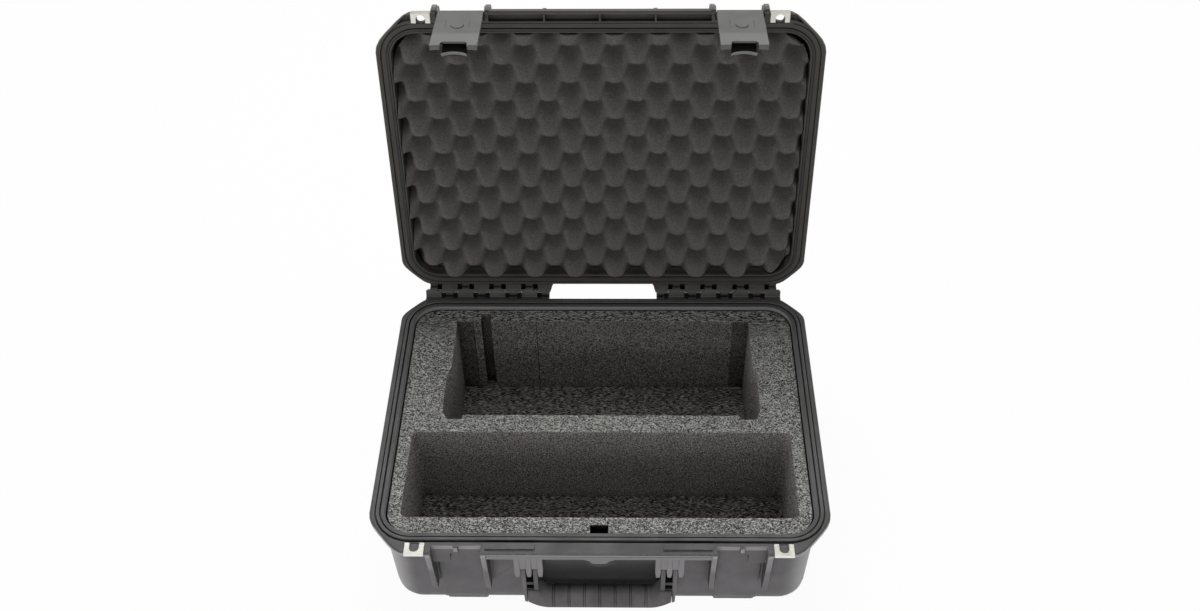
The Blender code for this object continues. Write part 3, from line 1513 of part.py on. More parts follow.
def make_case():
    lid_axis = axis_empty("lid_axis", hinge_place)
    make_base()
    make_base_foam()
    make_lid(lid_axis)
    make_gasket(lid_axis)
    make_lid_foam(lid_axis)
    make_hinge_pins()
    for side, name in ((-1, "left"), (1, "right")):
        latch_axis = make_latch(side, name, lid_axis)
        make_trigger(side, name, latch_axis)
    make_handle()
    make_padlock_plates(lid_axis)
    make_valve()
    apply_cuts()
    lid_axis.rotation_euler.x = -lid_open_angle


make_case()
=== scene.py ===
"""Looks of the moulded utility case standing open: plastic shells, steel, rubber grip and cut foam.

Metres, +Z up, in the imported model's frame. The lid's foam is modelled where it sits on the closed case, and
is then turned open about the hinge.
"""

import json
from math import ceil, cos, pi, radians, sin, tan

import bmesh
import bpy
from mathutils import Matrix, Vector


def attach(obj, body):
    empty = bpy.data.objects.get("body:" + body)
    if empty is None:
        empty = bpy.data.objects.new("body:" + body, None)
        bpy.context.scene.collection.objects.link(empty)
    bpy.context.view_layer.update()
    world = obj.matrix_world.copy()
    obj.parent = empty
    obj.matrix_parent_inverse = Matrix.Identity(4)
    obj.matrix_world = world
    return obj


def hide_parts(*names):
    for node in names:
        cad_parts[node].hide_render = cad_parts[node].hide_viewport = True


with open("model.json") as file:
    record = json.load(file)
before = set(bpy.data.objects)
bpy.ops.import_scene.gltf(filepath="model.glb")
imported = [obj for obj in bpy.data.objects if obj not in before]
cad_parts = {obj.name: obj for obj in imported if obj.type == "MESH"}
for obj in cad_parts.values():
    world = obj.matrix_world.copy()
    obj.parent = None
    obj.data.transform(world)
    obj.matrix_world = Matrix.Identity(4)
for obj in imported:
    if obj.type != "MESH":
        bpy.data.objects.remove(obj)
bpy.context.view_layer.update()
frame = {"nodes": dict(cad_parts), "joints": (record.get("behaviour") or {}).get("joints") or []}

scene = bpy.context.scene

# Places that come from the joints: the case parts at the level of its hinge
joints = {joint["name"]: joint for joint in frame["joints"]}
hinge_place = Vector(joints["lid_hinge"]["pos_m"])
latch_pivot = Vector(joints["latch_right_swing"]["pos_m"])
latch_centre_x = joints["latch_right_swing"]["pos_m"][0]
rim_height = joints["lid_hinge"]["pos_m"][2]

# The hinge turns the lid open at rest
lid_open = radians(joints["lid_hinge"]["range_deg"][1])
lid_turn = Matrix.Rotation(-lid_open, 4, "X")
opened = Matrix.Translation(hinge_place) @ lid_turn @ Matrix.Translation(-hinge_place)

# Sizes of the case that its new pieces share
inner_half_x = 0.236
inner_half_y = 0.169
inner_corner = 0.031
lid_inner_depth = 0.038
corner_steps = 10

# The grip's grooves, which its shape and its finish share
grip_straight = 0.056
groove_pitch = 0.01725
groove_half = 0.0012


# Shader nodes

def feed(tree, entry, source):
    """Gives a node's input a link where the source is an output, and else a plain value."""
    if isinstance(source, bpy.types.NodeSocket):
        tree.links.new(source, entry)
    else:
        entry.default_value = source


def place_node(tree, kind, links=None, **settings):
    """A node with its settings; links maps its input names or numbers to outputs or values."""
    node = tree.nodes.new(kind)
    for key, value in settings.items():
        setattr(node, key, value)
    for key, source in (links or {}).items():
        feed(tree, node.inputs[key], source)
    return node


def maths(tree, operation, first, second=0.0):
    """What a sum, a product or another reckoning of one or two values gives."""
    return place_node(tree, "ShaderNodeMath", {0: first, 1: second}, operation=operation).outputs[0]


def product(tree, mask, *others):
    """Several masks multiplied together."""
    for other in others:
        mask = maths(tree, "MULTIPLY", mask, other)
    return mask


def distance(tree, across, along):
    """How far a place is from a middle, from its two offsets."""
    squares = maths(tree, "ADD", product(tree, across, across), product(tree, along, along))
    return maths(tree, "SQRT", squares)


def spread(tree, value, low, high, out_low=0.0, out_high=1.0):
    """Maps a range of a value onto another, smoothly and with its ends held."""
    links = {0: value, 1: low, 2: high, 3: out_low, 4: out_high}
    return place_node(tree, "ShaderNodeMapRange", links, interpolation_type="SMOOTHSTEP").outputs[0]


def noise(tree, vector, scale, detail, roughness=0.5, distortion=0.0):
    """A cloudy value that changes over the surface."""
    links = {
        "Vector": vector,
        "Scale": scale,
        "Detail": detail,
        "Roughness": roughness,
        "Distortion": distortion,
    }
    return place_node(tree, "ShaderNodeTexNoise", links).outputs[0]


# Numbers of the Mix node's sockets that mix colours
mix_factor = 0
mix_low = 6
mix_high = 7
mix_result = 2


def blend_colours(tree, factor, low, high):
    """A colour between two, by a factor that varies over the surface."""
    node = place_node(tree, "ShaderNodeMix", {mix_factor: factor}, data_type="RGBA")
    for number, colour in ((mix_low, low), (mix_high, high)):
        feed(tree, node.inputs[number], (*colour, 1.0) if isinstance(colour, tuple) else colour)
    return node.outputs[mix_result]


def own_place(tree):
    """Where a point lies in the piece's own space, as X, Y and Z."""
    coordinates = place_node(tree, "ShaderNodeTexCoord").outputs["Object"]
    return place_node(tree, "ShaderNodeSeparateXYZ", {0: coordinates}).outputs


def own_normal(tree):
    """The surface's direction in the piece's own space, so that it turns with the piece."""
    normal = place_node(tree, "ShaderNodeTexCoord").outputs["Normal"]
    return place_node(tree, "ShaderNodeSeparateXYZ", {0: normal}).outputs


# Effects shared by several materials

def new_group(name, inputs, outputs):
    """An empty effect. An input's usual value is None where it is a vector, and the outputs are values."""
    group = bpy.data.node_groups.new(name, "ShaderNodeTree")
    for label, usual in inputs.items():
        kind = "NodeSocketVector" if usual is None else "NodeSocketFloat"
        socket = group.interface.new_socket(label, in_out="INPUT", socket_type=kind)
        if usual is not None:
            socket.default_value = usual
    for label in outputs:
        group.interface.new_socket(label, in_out="OUTPUT", socket_type="NodeSocketFloat")
    return group, group.nodes.new("NodeGroupInput"), group.nodes.new("NodeGroupOutput")


grain_share = 0.45
grain_middle = 0.22


def grain_group():
    """Fine spark-eroded texture of a moulded surface, and broad faint mottling."""
    inputs = {"Vector": None, "Grain": 1400, "Mottle": 30}
    group, entry, leave = new_group("moulded_grain", inputs, ("Height", "Shade"))
    fine = noise(group, entry.outputs["Vector"], entry.outputs["Grain"], detail=3, roughness=0.6)
    broad = noise(group, entry.outputs["Vector"], entry.outputs["Mottle"], detail=4, roughness=0.55)
    ripple = maths(group, "SUBTRACT", maths(group, "MULTIPLY", fine, grain_share), grain_middle)
    group.links.new(fine, leave.inputs["Height"])
    group.links.new(maths(group, "ADD", broad, ripple), leave.inputs["Shade"])
    return group


# Edges that are worn pale and carry a painted highlight
usual_reach = 0.0009
edge_agreement = (0.995, 0.86)
edge_gaps = (0.35, 0.7)
edge_least = 0.35


def worn_highlit_group():
    """Pale edges, worn and with a painted highlight: a mask from rounded-off normals, broken up by noise."""
    inputs = {"Vector": None, "Reach": usual_reach, "Breakup": 160}
    group, entry, leave = new_group("worn_highlit_edges", inputs, ("Mask",))
    rounded = place_node(group, "ShaderNodeBevel", {"Radius": entry.outputs["Reach"]}, samples=6)
    plain = place_node(group, "ShaderNodeNewGeometry")
    links = {0: rounded.outputs[0], 1: plain.outputs["Normal"]}
    agree = place_node(group, "ShaderNodeVectorMath", links, operation="DOT_PRODUCT")
    edge = spread(group, agree.outputs["Value"], *edge_agreement)
    broken = noise(group, entry.outputs["Vector"], entry.outputs["Breakup"], detail=3)
    worn = spread(group, broken, *edge_gaps, edge_least, 1.0)
    group.links.new(product(group, edge, worn), leave.inputs["Mask"])
    return group


crevice_openness = (0.66, 0.2)


def crevice_shade_group():
    """Painted shade in corners, slots and overhangs: an ambient occlusion mask within a reach."""
    group, entry, leave = new_group("painted_crevice_shade", {"Reach": 0.012}, ("Mask",))
    links = {"Distance": entry.outputs["Reach"]}
    openness = place_node(group, "ShaderNodeAmbientOcclusion", links, samples=6).outputs["AO"]
    group.links.new(spread(group, openness, *crevice_openness), leave.inputs["Mask"])
    return group


worm_range = (0.44, 0.58)
speck_range = (0.29, 0.10)
speck_finer = 1.9
speck_height = 0.4


def foam_group():
    """Cut closed-cell foam: bright torn cell walls between dark cells, drawn out along X by Stretch."""
    inputs = {"Vector": None, "Cells": 520, "Stretch": 0.0}
    group, entry, leave = new_group("cut_foam", inputs, ("Shade", "Speck", "Height"))
    parts = place_node(group, "ShaderNodeSeparateXYZ", {0: entry.outputs["Vector"]}).outputs
    narrow = product(group, parts["X"], maths(group, "SUBTRACT", 1.0, entry.outputs["Stretch"]))
    links = {"X": narrow, "Y": parts["Y"], "Z": parts["Z"]}
    drawn = place_node(group, "ShaderNodeCombineXYZ", links).outputs[0]
    worms = noise(group, drawn, entry.outputs["Cells"], detail=2, roughness=0.7, distortion=0.6)
    links = {"Vector": drawn, "Scale": maths(group, "MULTIPLY", entry.outputs["Cells"], speck_finer)}
    cells = place_node(group, "ShaderNodeTexVoronoi", links).outputs["Distance"]
    shade = spread(group, worms, *worm_range)
    speck = spread(group, cells, *speck_range)
    group.links.new(shade, leave.inputs["Shade"])
    group.links.new(speck, leave.inputs["Speck"])
    group.links.new(maths(group, "ADD", shade, product(group, speck, speck_height)), leave.inputs["Height"])
    return group


moulded_grain = grain_group()
worn_highlit_edges = worn_highlit_group()
painted_crevice_shade = crevice_shade_group()
cut_foam = foam_group()


# Masks that tell the faces of a piece apart
band_blur = 0.0006
flange_low = 0.1430
flange_high = 0.1499
level_to_upright = (0.85, 0.45)
lid_rim_behind = (0.006, 0.012)
turned_out = (0.1, 0.4)


def upright_faces(tree):
    """1 on faces that stand upright, and 0 on level ones."""
    return spread(tree, maths(tree, "ABSOLUTE", own_normal(tree)["Z"]), *level_to_upright)


def level_band(tree, low, high):
    """1 on upright faces between two heights, and 0 elsewhere."""
    height = own_place(tree)["Z"]
    above = spread(tree, height, low - band_blur, low)
    below = spread(tree, height, high, high - band_blur)
    return product(tree, above, below, upright_faces(tree))


def case_sides(tree):
    """1 on the upright faces below the flange's top, and 0 elsewhere."""
    below = spread(tree, own_place(tree)["Z"], flange_high + band_blur, flange_high)
    return product(tree, upright_faces(tree), below)


def lid_outside(tree):
    """1 on the outer faces of the open lid, behind its rim, and 0 elsewhere."""
    place, normal = own_place(tree), own_normal(tree)
    above_hinge = maths(tree, "SUBTRACT", place["Z"], hinge_place.z)
    lean = maths(tree, "MULTIPLY", above_hinge, tan(lid_open - pi / 2))
    rim_ends, skin_starts = (hinge_place.y + gap for gap in lid_rim_behind)
    behind = spread(tree, maths(tree, "SUBTRACT", place["Y"], lean), rim_ends, skin_starts)
    sideways = maths(tree, "MULTIPLY", normal["X"], maths(tree, "SIGN", place["X"]))
    outward = maths(tree, "MAXIMUM", maths(tree, "MAXIMUM", normal["Y"], sideways), normal["Z"])
    return product(tree, behind, spread(tree, outward, *turned_out))


# Materials
# Reaches of the painted shade in corners and slots, and its tone
crevice_shade_reach = 0.011
case_shade_reach = 0.03
groove_shade_reach = 0.0028
crevice_shade = (0.008, 0.007, 0.006)
grain_depth = 0.00006
mottled = (0.3, 0.72)
shine_mottled = (0.25, 0.75)
shine_swing = 0.06


def new_material(name, roughness, metallic=0.0, specular=0.3):
    """A material with its tree, its Principled shader and the piece's own coordinates."""
    material = bpy.data.materials.new(name)
    material.use_nodes = True
    tree = material.node_tree
    shader = tree.nodes["Principled BSDF"]
    shader.inputs["Roughness"].default_value = roughness
    shader.inputs["Metallic"].default_value = metallic
    shader.inputs["Specular IOR Level"].default_value = specular
    coordinates = place_node(tree, "ShaderNodeTexCoord").outputs["Object"]
    return material, tree, shader, coordinates


def effect(tree, group, **values):
    """A shared effect in a material, with its inputs set."""
    return place_node(tree, "ShaderNodeGroup", values, node_tree=group).outputs


def paint_crevice_shade(tree, colour, shade, reach):
    """Blends a colour into a painted shade in corners and slots."""
    return blend_colours(tree, effect(tree, painted_crevice_shade, Reach=reach)["Mask"], colour, shade)


def set_surface(tree, shader, colour, height, depth):
    """Gives the shader its finished colour, and a bump of the given depth."""
    bump = place_node(tree, "ShaderNodeBump", {"Height": height, "Distance": depth, "Strength": 1.0})
    tree.links.new(colour, shader.inputs["Base Color"])
    tree.links.new(bump.outputs[0], shader.inputs["Normal"])


def plastic(
    name, tones, worn_highlit_tone, roughness, specular, reach=usual_reach, shade_reach=crevice_shade_reach, paler=None, band=None
):
    """Moulded plastic: two mottled tones, grain, edges worn and painted light, painted shade in hollows.

    paler holds a mask's function and the two tones of painted light for the faces under it, and band
    holds two heights and the painted highlight of the upright faces between them.
    """
    material, tree, shader, coordinates = new_material(name, roughness, specular=specular)
    surface = effect(tree, moulded_grain, Vector=coordinates)
    mottle = spread(tree, surface["Shade"], *mottled)
    colour = blend_colours(tree, mottle, *tones)
    if paler:
        where, paler_tones = paler
        colour = blend_colours(tree, where(tree), colour, blend_colours(tree, mottle, *paler_tones))
    if band:
        low, high, tone = band
        colour = blend_colours(tree, level_band(tree, low, high), colour, tone)
    worn_highlit = effect(tree, worn_highlit_edges, Vector=coordinates, Reach=reach)
    colour = blend_colours(tree, worn_highlit["Mask"], colour, worn_highlit_tone)
    colour = paint_crevice_shade(tree, colour, crevice_shade, shade_reach)
    shine = spread(tree, surface["Shade"], *shine_mottled, roughness + shine_swing, roughness - shine_swing)
    tree.links.new(shine, shader.inputs["Roughness"])
    set_surface(tree, shader, colour, surface["Height"], grain_depth)
    return material


steel_streaks = (40, 1800, 1800)
steel_streak_range = (0.3, 0.7)
steel_shine = (0.28, 0.46)
steel_streak_depth = 0.00003
steel_patches = ((0.29, 0.29, 0.25), (0.38, 0.38, 0.335))
# Painted highlight on the steel's upright faces
steel_upright_highlight = (1.0, 0.97, 0.92)
steel_on_lid = (0.42, 0.39, 0.31)
steel_lid_level = (0.3, 0.4)
steel_lid_share = 0.35


def brushed_steel():
    """Plated sheet: pale, slightly warm, with faint streaks along X and dull patches, a painted highlight on
    its upright faces, and the plates up on the open lid blended partly towards a warmer tone.
    """
    material, tree, shader, coordinates = new_material("brushed_steel", roughness=0.45, metallic=0.3)
    links = {"Vector": coordinates, "Scale": steel_streaks}
    drawn = place_node(tree, "ShaderNodeMapping", links).outputs[0]
    streaks = noise(tree, drawn, 1.0, detail=3)
    patches = effect(tree, moulded_grain, Vector=coordinates, Grain=600, Mottle=90)
    colour = blend_colours(tree, spread(tree, patches["Shade"], *steel_streak_range), *steel_patches)
    colour = blend_colours(tree, upright_faces(tree), colour, steel_upright_highlight)
    on_lid = spread(tree, own_place(tree)["Z"], *steel_lid_level, 0.0, steel_lid_share)
    colour = blend_colours(tree, on_lid, colour, steel_on_lid)
    shine = spread(tree, streaks, *steel_streak_range, *steel_shine)
    tree.links.new(shine, shader.inputs["Roughness"])
    set_surface(tree, shader, colour, streaks, steel_streak_depth)
    return material


rubber_mottled = (0.3, 0.7)
# Share of the edges' wear and painted highlight on rubber
rubber_edge_share = 0.5
rubber_depth = 0.00008


def rubber(name, tones, roughness, grain):
    """Matt moulded rubber: edges a little paler, worn and painted light; painted shade in its grooves."""
    material, tree, shader, coordinates = new_material(name, roughness, specular=0.35)
    surface = effect(tree, moulded_grain, Vector=coordinates, Grain=grain, Mottle=45)
    colour = blend_colours(tree, spread(tree, surface["Shade"], *rubber_mottled), *tones)
    worn_highlit = effect(tree, worn_highlit_edges, Vector=coordinates)
    colour = blend_colours(tree, product(tree, worn_highlit["Mask"], rubber_edge_share), colour, tones[1])
    colour = paint_crevice_shade(tree, colour, crevice_shade, groove_shade_reach)
    set_surface(tree, shader, colour, surface["Height"], rubber_depth)
    return material


foam_shade_reach = 0.025
foam_bump = 0.0009
sawn_tones = ((0.032, 0.032, 0.029), (0.66, 0.665, 0.63))
sawn_speck = (1.0, 1.0, 0.96)
# Towards the back the top turns to torn streaks and painted shade
torn_from, torn_to = 0.110, 0.156
torn_shaded_tones = ((0.010, 0.010, 0.009), (0.62, 0.625, 0.58))
cut_tones = ((0.072, 0.066, 0.063), (0.70, 0.66, 0.64))
cut_speck = (1.0, 0.96, 0.96)
cut_shade = (0.02, 0.018, 0.017)
# Painted shade in the back corners and high on the back wall
back_corner_x = (0.1630, 0.1642)
back_corner_y = (0.138, 0.147)
back_corner_share = 0.5
back_wall_below_rim = (0.060, 0.010)
back_wall_y = (0.125, 0.135)
back_wall_share = 0.45
cut_to_sawn = (0.45, 0.75)
# Painted highlight along the foam's rims
foam_rim_highlight = (0.5, 0.48, 0.46)
foam_rim_reach = 0.0016
foam_rim_share = 0.5
streak_power = 2.0


def sawn_top(tree, coordinates, height):
    """The block's top: pale and speckled; towards the back, torn dark streaks along X and painted shade."""
    top = effect(tree, cut_foam, Vector=coordinates, Cells=900, Stretch=0.34)
    sawn = blend_colours(tree, top["Shade"], *sawn_tones)
    sawn = blend_colours(tree, top["Speck"], sawn, sawn_speck)
    drawn = effect(tree, cut_foam, Vector=coordinates, Cells=1050, Stretch=0.8)
    torn = blend_colours(tree, maths(tree, "POWER", drawn["Shade"], streak_power), *torn_shaded_tones)
    return top["Height"], blend_colours(tree, spread(tree, height, torn_from, torn_to), sawn, torn)


def cut_walls(tree, coordinates, place):
    """The cavities' walls: darker and finer, with painted shade in back corners and high on the back wall."""
    wall = effect(tree, cut_foam, Vector=coordinates, Cells=700, Stretch=0.0)
    cut = blend_colours(tree, wall["Shade"], *cut_tones)
    cut = blend_colours(tree, wall["Speck"], cut, cut_speck)
    corner = spread(tree, maths(tree, "ABSOLUTE", place["X"]), *back_corner_x, 0.0, back_corner_share)
    corner = product(tree, corner, spread(tree, place["Y"], *back_corner_y))
    cut = blend_colours(tree, corner, cut, cut_shade)
    low, high = (rim_height - below for below in back_wall_below_rim)
    upper = spread(tree, place["Z"], low, high, 0.0, back_wall_share)
    return blend_colours(tree, product(tree, upper, spread(tree, place["Y"], *back_wall_y)), cut, cut_shade)


def block_foam_material():
    """Closed-cell block foam: sawn top, cut walls, rims paler with painted highlight, painted shade in
    hollows.
    """
    material, tree, shader, coordinates = new_material("cut_block_foam", roughness=0.95, specular=0.12)
    place = own_place(tree)
    height, sawn = sawn_top(tree, coordinates, place["Y"])
    cut = cut_walls(tree, coordinates, place)
    colour = blend_colours(tree, spread(tree, own_normal(tree)["Z"], *cut_to_sawn), cut, sawn)
    rim = effect(tree, worn_highlit_edges, Vector=coordinates, Reach=foam_rim_reach, Breakup=700)
    colour = blend_colours(tree, product(tree, rim["Mask"], foam_rim_share), colour, foam_rim_highlight)
    colour = paint_crevice_shade(tree, colour, crevice_shade, foam_shade_reach)
    set_surface(tree, shader, colour, height, foam_bump)
    return material


floor_tones = ((0.035, 0.031, 0.028), (0.75, 0.71, 0.68))
floor_bump = 0.0012


def floor_foam_material():
    """The dark pad under the cavities, sawn in rough lines along X."""
    material, tree, shader, coordinates = new_material("sawn_floor_foam", roughness=0.97, specular=0.1)
    surface = effect(tree, cut_foam, Vector=coordinates, Cells=1300, Stretch=0.84)
    streaks = maths(tree, "POWER", surface["Shade"], streak_power)
    set_surface(tree, shader, blend_colours(tree, streaks, *floor_tones), surface["Height"], floor_bump)
    return material


egg_shade_reach = 0.015
egg_bump = 0.0004
egg_tones = ((0.118, 0.110, 0.104), (0.172, 0.160, 0.151))
egg_pore = (0.36, 0.34, 0.32)
egg_pore_share = 0.3
egg_shade = (0.045, 0.042, 0.039)


def egg_foam_material():
    """Soft open-cell foam, charcoal brown with fine pale pores, and painted shade in its hollows."""
    material, tree, shader, coordinates = new_material("egg_crate_foam", roughness=0.95, specular=0.12)
    surface = effect(tree, cut_foam, Vector=coordinates, Cells=760, Stretch=0.0)
    colour = blend_colours(tree, surface["Shade"], *egg_tones)
    colour = blend_colours(tree, product(tree, surface["Speck"], egg_pore_share), colour, egg_pore)
    colour = paint_crevice_shade(tree, colour, egg_shade, egg_shade_reach)
    set_surface(tree, shader, colour, surface["Height"], egg_bump)
    return material


# Lines, painted shade and painted light laid over the finished colours

def lay_over(material, mask, tone):
    """Lays a tone over a material's colour where a mask is 1."""
    tree = material.node_tree
    base = tree.nodes["Principled BSDF"].inputs["Base Color"]
    tree.links.new(blend_colours(tree, mask, base.links[0].from_socket, tone), base)


score_x = 0.0129
score_half = 0.0003
score_y = (0.2120, 0.2287)
score_shade = (0.03, 0.03, 0.03)
ring_y = 0.2179
ring_radius = 0.0066
ring_share = 0.55
ring_shade = (0.04, 0.04, 0.04)


def score_latch(material):
    """Two short dark lines and the boss ring between them on each latch."""
    tree = material.node_tree
    place = own_place(tree)
    from_middle = maths(tree, "SUBTRACT", maths(tree, "ABSOLUTE", place["X"]), latch_centre_x)
    from_line = maths(tree, "SUBTRACT", maths(tree, "ABSOLUTE", from_middle), score_x)
    lines = spread(tree, maths(tree, "ABSOLUTE", from_line), score_half, score_half / 2)
    for edge, beyond in ((score_y[0], score_y[0] - score_half), (score_y[1], score_y[1] + score_half)):
        lines = product(tree, lines, spread(tree, place["Y"], beyond, edge))
    lay_over(material, lines, score_shade)
    from_centre = distance(tree, from_middle, maths(tree, "SUBTRACT", place["Y"], ring_y))
    from_ring = maths(tree, "ABSOLUTE", maths(tree, "SUBTRACT", from_centre, ring_radius))
    lay_over(material, spread(tree, from_ring, score_half, score_half / 2, 0.0, ring_share), ring_shade)


pale_end_y = (0.2030, 0.1955)
pale_end_share = 0.5
pale_end = (0.20, 0.20, 0.192)
opening_half = 0.0165
opening_walls = (0.5, 0.8)
opening_shade = (0.008, 0.008, 0.008)


def shade_latch_end(material):
    """The latch's free end is paler, and the side walls of its opening are painted black as shade."""
    tree = material.node_tree
    place = own_place(tree)
    lay_over(material, product(tree, spread(tree, place["Y"], *pale_end_y), pale_end_share), pale_end)
    from_middle = maths(tree, "SUBTRACT", maths(tree, "ABSOLUTE", place["X"]), latch_centre_x)
    inside = spread(tree, maths(tree, "ABSOLUTE", from_middle), opening_half, opening_half - score_half)
    walls = spread(tree, maths(tree, "ABSOLUTE", own_normal(tree)["X"]), *opening_walls)
    lay_over(material, product(tree, inside, walls), opening_shade)


handle_shade = (0.012, 0.011, 0.011)
handle_shade_x = (0.092, 0.070)
handle_shade_top = (0.1345, 0.126)
handle_shade_low = (0.040, 0.075)
handle_shade_y = (-0.1925, -0.1895)
handle_shade_deeper = (0.110, 0.085)
handle_shade_shares = (0.58, 0.92)
front_half_y = (0.0, -0.1)


def shade_behind_handle(material):
    """Painted shadow on the sheltered wall between the handle's posts."""
    tree = material.node_tree
    place = own_place(tree)
    between = spread(tree, maths(tree, "ABSOLUTE", place["X"]), *handle_shade_x)
    under = spread(tree, place["Z"], *handle_shade_top)
    behind = spread(tree, place["Y"], *handle_shade_y)
    in_front = spread(tree, place["Y"], *front_half_y)
    deeper = spread(tree, place["Z"], *handle_shade_deeper, *handle_shade_shares)
    fading = spread(tree, place["Z"], *handle_shade_low)
    lay_over(material, product(tree, between, under, behind, in_front, deeper, fading), handle_shade)


sheltered_facing = (-0.4, -0.85)
sheltered_y = (-0.17, -0.176)
sheltered_share = 0.7
sheltered_shade = (0.018, 0.017, 0.017)
# Painted light on the ribs' proud faces
proud_y = (-0.1895, -0.1925)
proud_z = (0.1430, 0.1420)
proud_share = 0.8
proud_highlight = (0.27, 0.26, 0.268)
# Painted reflection on the case towards its ends
end_x = (0.205, 0.232)
end_z = (0.1300, 0.1200)
end_reflection = (0.32, 0.313, 0.32)


def shade_front_wall(material):
    """Painted shade on the front ribs' inward sides and painted light on their proud faces, and a painted
    reflection on the case towards its ends.
    """
    tree = material.node_tree
    place = own_place(tree)
    facing = maths(tree, "MULTIPLY", own_normal(tree)["X"], maths(tree, "SIGN", place["X"]))
    inward = product(tree, spread(tree, facing, *sheltered_facing), spread(tree, place["Y"], *sheltered_y))
    lay_over(material, product(tree, inward, sheltered_share), sheltered_shade)
    proud = product(tree, spread(tree, place["Y"], *proud_y), spread(tree, place["Z"], *proud_z))
    lay_over(material, product(tree, proud, upright_faces(tree), proud_share), proud_highlight)
    ends = spread(tree, maths(tree, "ABSOLUTE", place["X"]), *end_x)
    lay_over(material, product(tree, ends, spread(tree, place["Z"], *end_z)), end_reflection)


crescent_radius = 0.029
crescent_low = 0.1080
crescent_line = (0.0016, 0.0010)
crescent_edge = (0.0002, -0.0002)
crescent_shade = (0.015, 0.014, 0.015)
crescent_light = (0.25, 0.243, 0.25)


def lit_valve_crescent(material):
    """Painted light on the valve above an arc, with a dark line of painted shade under it."""
    tree = material.node_tree
    place = own_place(tree)
    rise = maths(tree, "SUBTRACT", place["Z"], crescent_low + crescent_radius)
    from_arc = maths(tree, "SUBTRACT", distance(tree, place["X"], rise), crescent_radius)
    lay_over(material, spread(tree, from_arc, *crescent_line), crescent_shade)
    lay_over(material, spread(tree, from_arc, *crescent_edge), crescent_light)


groove_line = (0.0006, 0.0002)
groove_share = 0.85
groove_shade = (0.012, 0.011, 0.011)
groove_fade = 0.001


def shade_grip_grooves(material):
    """Painted shade: two dark lines at the edges of each of the grip's grooves."""
    tree = material.node_tree
    along = own_place(tree)["X"]
    from_groove = maths(tree, "PINGPONG", along, groove_pitch / 2)
    from_edge = maths(tree, "ABSOLUTE", maths(tree, "SUBTRACT", from_groove, groove_half))
    lines = spread(tree, from_edge, *groove_line, 0.0, groove_share)
    ribbed = spread(tree, maths(tree, "ABSOLUTE", along), grip_straight, grip_straight - groove_fade)
    lay_over(material, product(tree, lines, ribbed), groove_shade)


# Painted light on the end of the trigger's lip
lit_lip_y = (0.1786, 0.1764)
lit_lip_z = (0.4, 0.5)
lit_lip_tone = (0.24, 0.24, 0.235)


def light_lip_end(material):
    """The end of the trigger's lip is painted grey as lit, where the rest of the trigger is painted in shade.
    """
    tree = material.node_tree
    place = own_place(tree)
    ends = product(tree, spread(tree, place["Y"], *lit_lip_y), spread(tree, place["Z"], *lit_lip_z))
    lay_over(material, ends, lit_lip_tone)


# The finishes of this case
# Painted light: the case's upright walls and the lid's outside take these paler tones
lit_wall_tones = ((0.124, 0.118, 0.123), (0.148, 0.141, 0.147))
# Painted highlight on the flange's front lip
flange_lip_highlight = (0.34, 0.33, 0.338)
case_plastic = plastic(
    "case_plastic", ((0.042, 0.042, 0.041), (0.053, 0.053, 0.052)), worn_highlit_tone=(0.26, 0.254, 0.26),
    roughness=0.55, specular=0.36, reach=0.0014, shade_reach=case_shade_reach,
    paler=(case_sides, lit_wall_tones), band=(flange_low, flange_high, flange_lip_highlight),
)
shade_behind_handle(case_plastic)
shade_front_wall(case_plastic)
lid_plastic = plastic(
    "lid_plastic", ((0.052, 0.050, 0.044), (0.060, 0.058, 0.052)), worn_highlit_tone=(0.16, 0.156, 0.146),
    roughness=0.46, specular=0.22, paler=(lid_outside, lit_wall_tones),
)
# Painted shade: the valve keeps the dark tones of the shaded wall below the flange
valve_plastic = plastic(
    "valve_plastic", ((0.040, 0.039, 0.039), (0.048, 0.047, 0.047)), worn_highlit_tone=(0.06, 0.058, 0.06),
    roughness=0.5, specular=0.3,
)
lit_valve_crescent(valve_plastic)
latch_plastic = plastic(
    "latch_plastic", ((0.108, 0.108, 0.105), (0.124, 0.124, 0.120)), worn_highlit_tone=(0.32, 0.32, 0.31),
    roughness=0.42, specular=0.08,
)
score_latch(latch_plastic)
shade_latch_end(latch_plastic)
# Painted shade: the trigger's near-black tones stand for the dark inside the latch's opening
trigger_plastic = plastic(
    "trigger_plastic", ((0.007, 0.006, 0.005), (0.011, 0.010, 0.009)), worn_highlit_tone=(0.20, 0.20, 0.195),
    roughness=0.4, specular=0.06, reach=0.0012,
)
light_lip_end(trigger_plastic)
steel = brushed_steel()
grip_rubber = rubber(
    "grip_rubber", ((0.088, 0.083, 0.083), (0.132, 0.125, 0.125)), roughness=0.6, grain=1100
)
shade_grip_grooves(grip_rubber)
seal_rubber = rubber(
    "seal_rubber", ((0.010, 0.010, 0.010), (0.022, 0.022, 0.022)), roughness=0.5, grain=900
)
block_foam = block_foam_material()
floor_foam = floor_foam_material()
egg_foam = egg_foam_material()


# Pieces
weld = 0.000002
shortest_edge = 0.00002
flat_within = radians(0.6)
smooth_bend = radians(33)
usual_bend = radians(35)
egg_bend = radians(50)
grip_bend = radians(28)
shell_edge = 0.0005
small_edge = 0.0004
sheet_edge = 0.00025
edge_segments = 2


def new_object(shape, name):
    """Puts a bmesh into the scene as an object at the origin."""
    mesh = bpy.data.meshes.new(name)
    shape.to_mesh(mesh)
    shape.free()
    made = bpy.data.objects.new(name, mesh)
    scene.collection.objects.link(made)
    return made


def finish_piece(shape, name, body, material, nodes=(), bend=usual_bend):
    """Makes a piece of a bmesh, shades it, and sets it riding and standing for its CAD nodes."""
    piece = new_object(shape, name)
    piece.data.materials.append(material)
    piece.data.shade_smooth()
    piece.data.set_sharp_from_angle(angle=bend)
    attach(piece, body)
    if nodes:
        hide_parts(*nodes)
    return piece


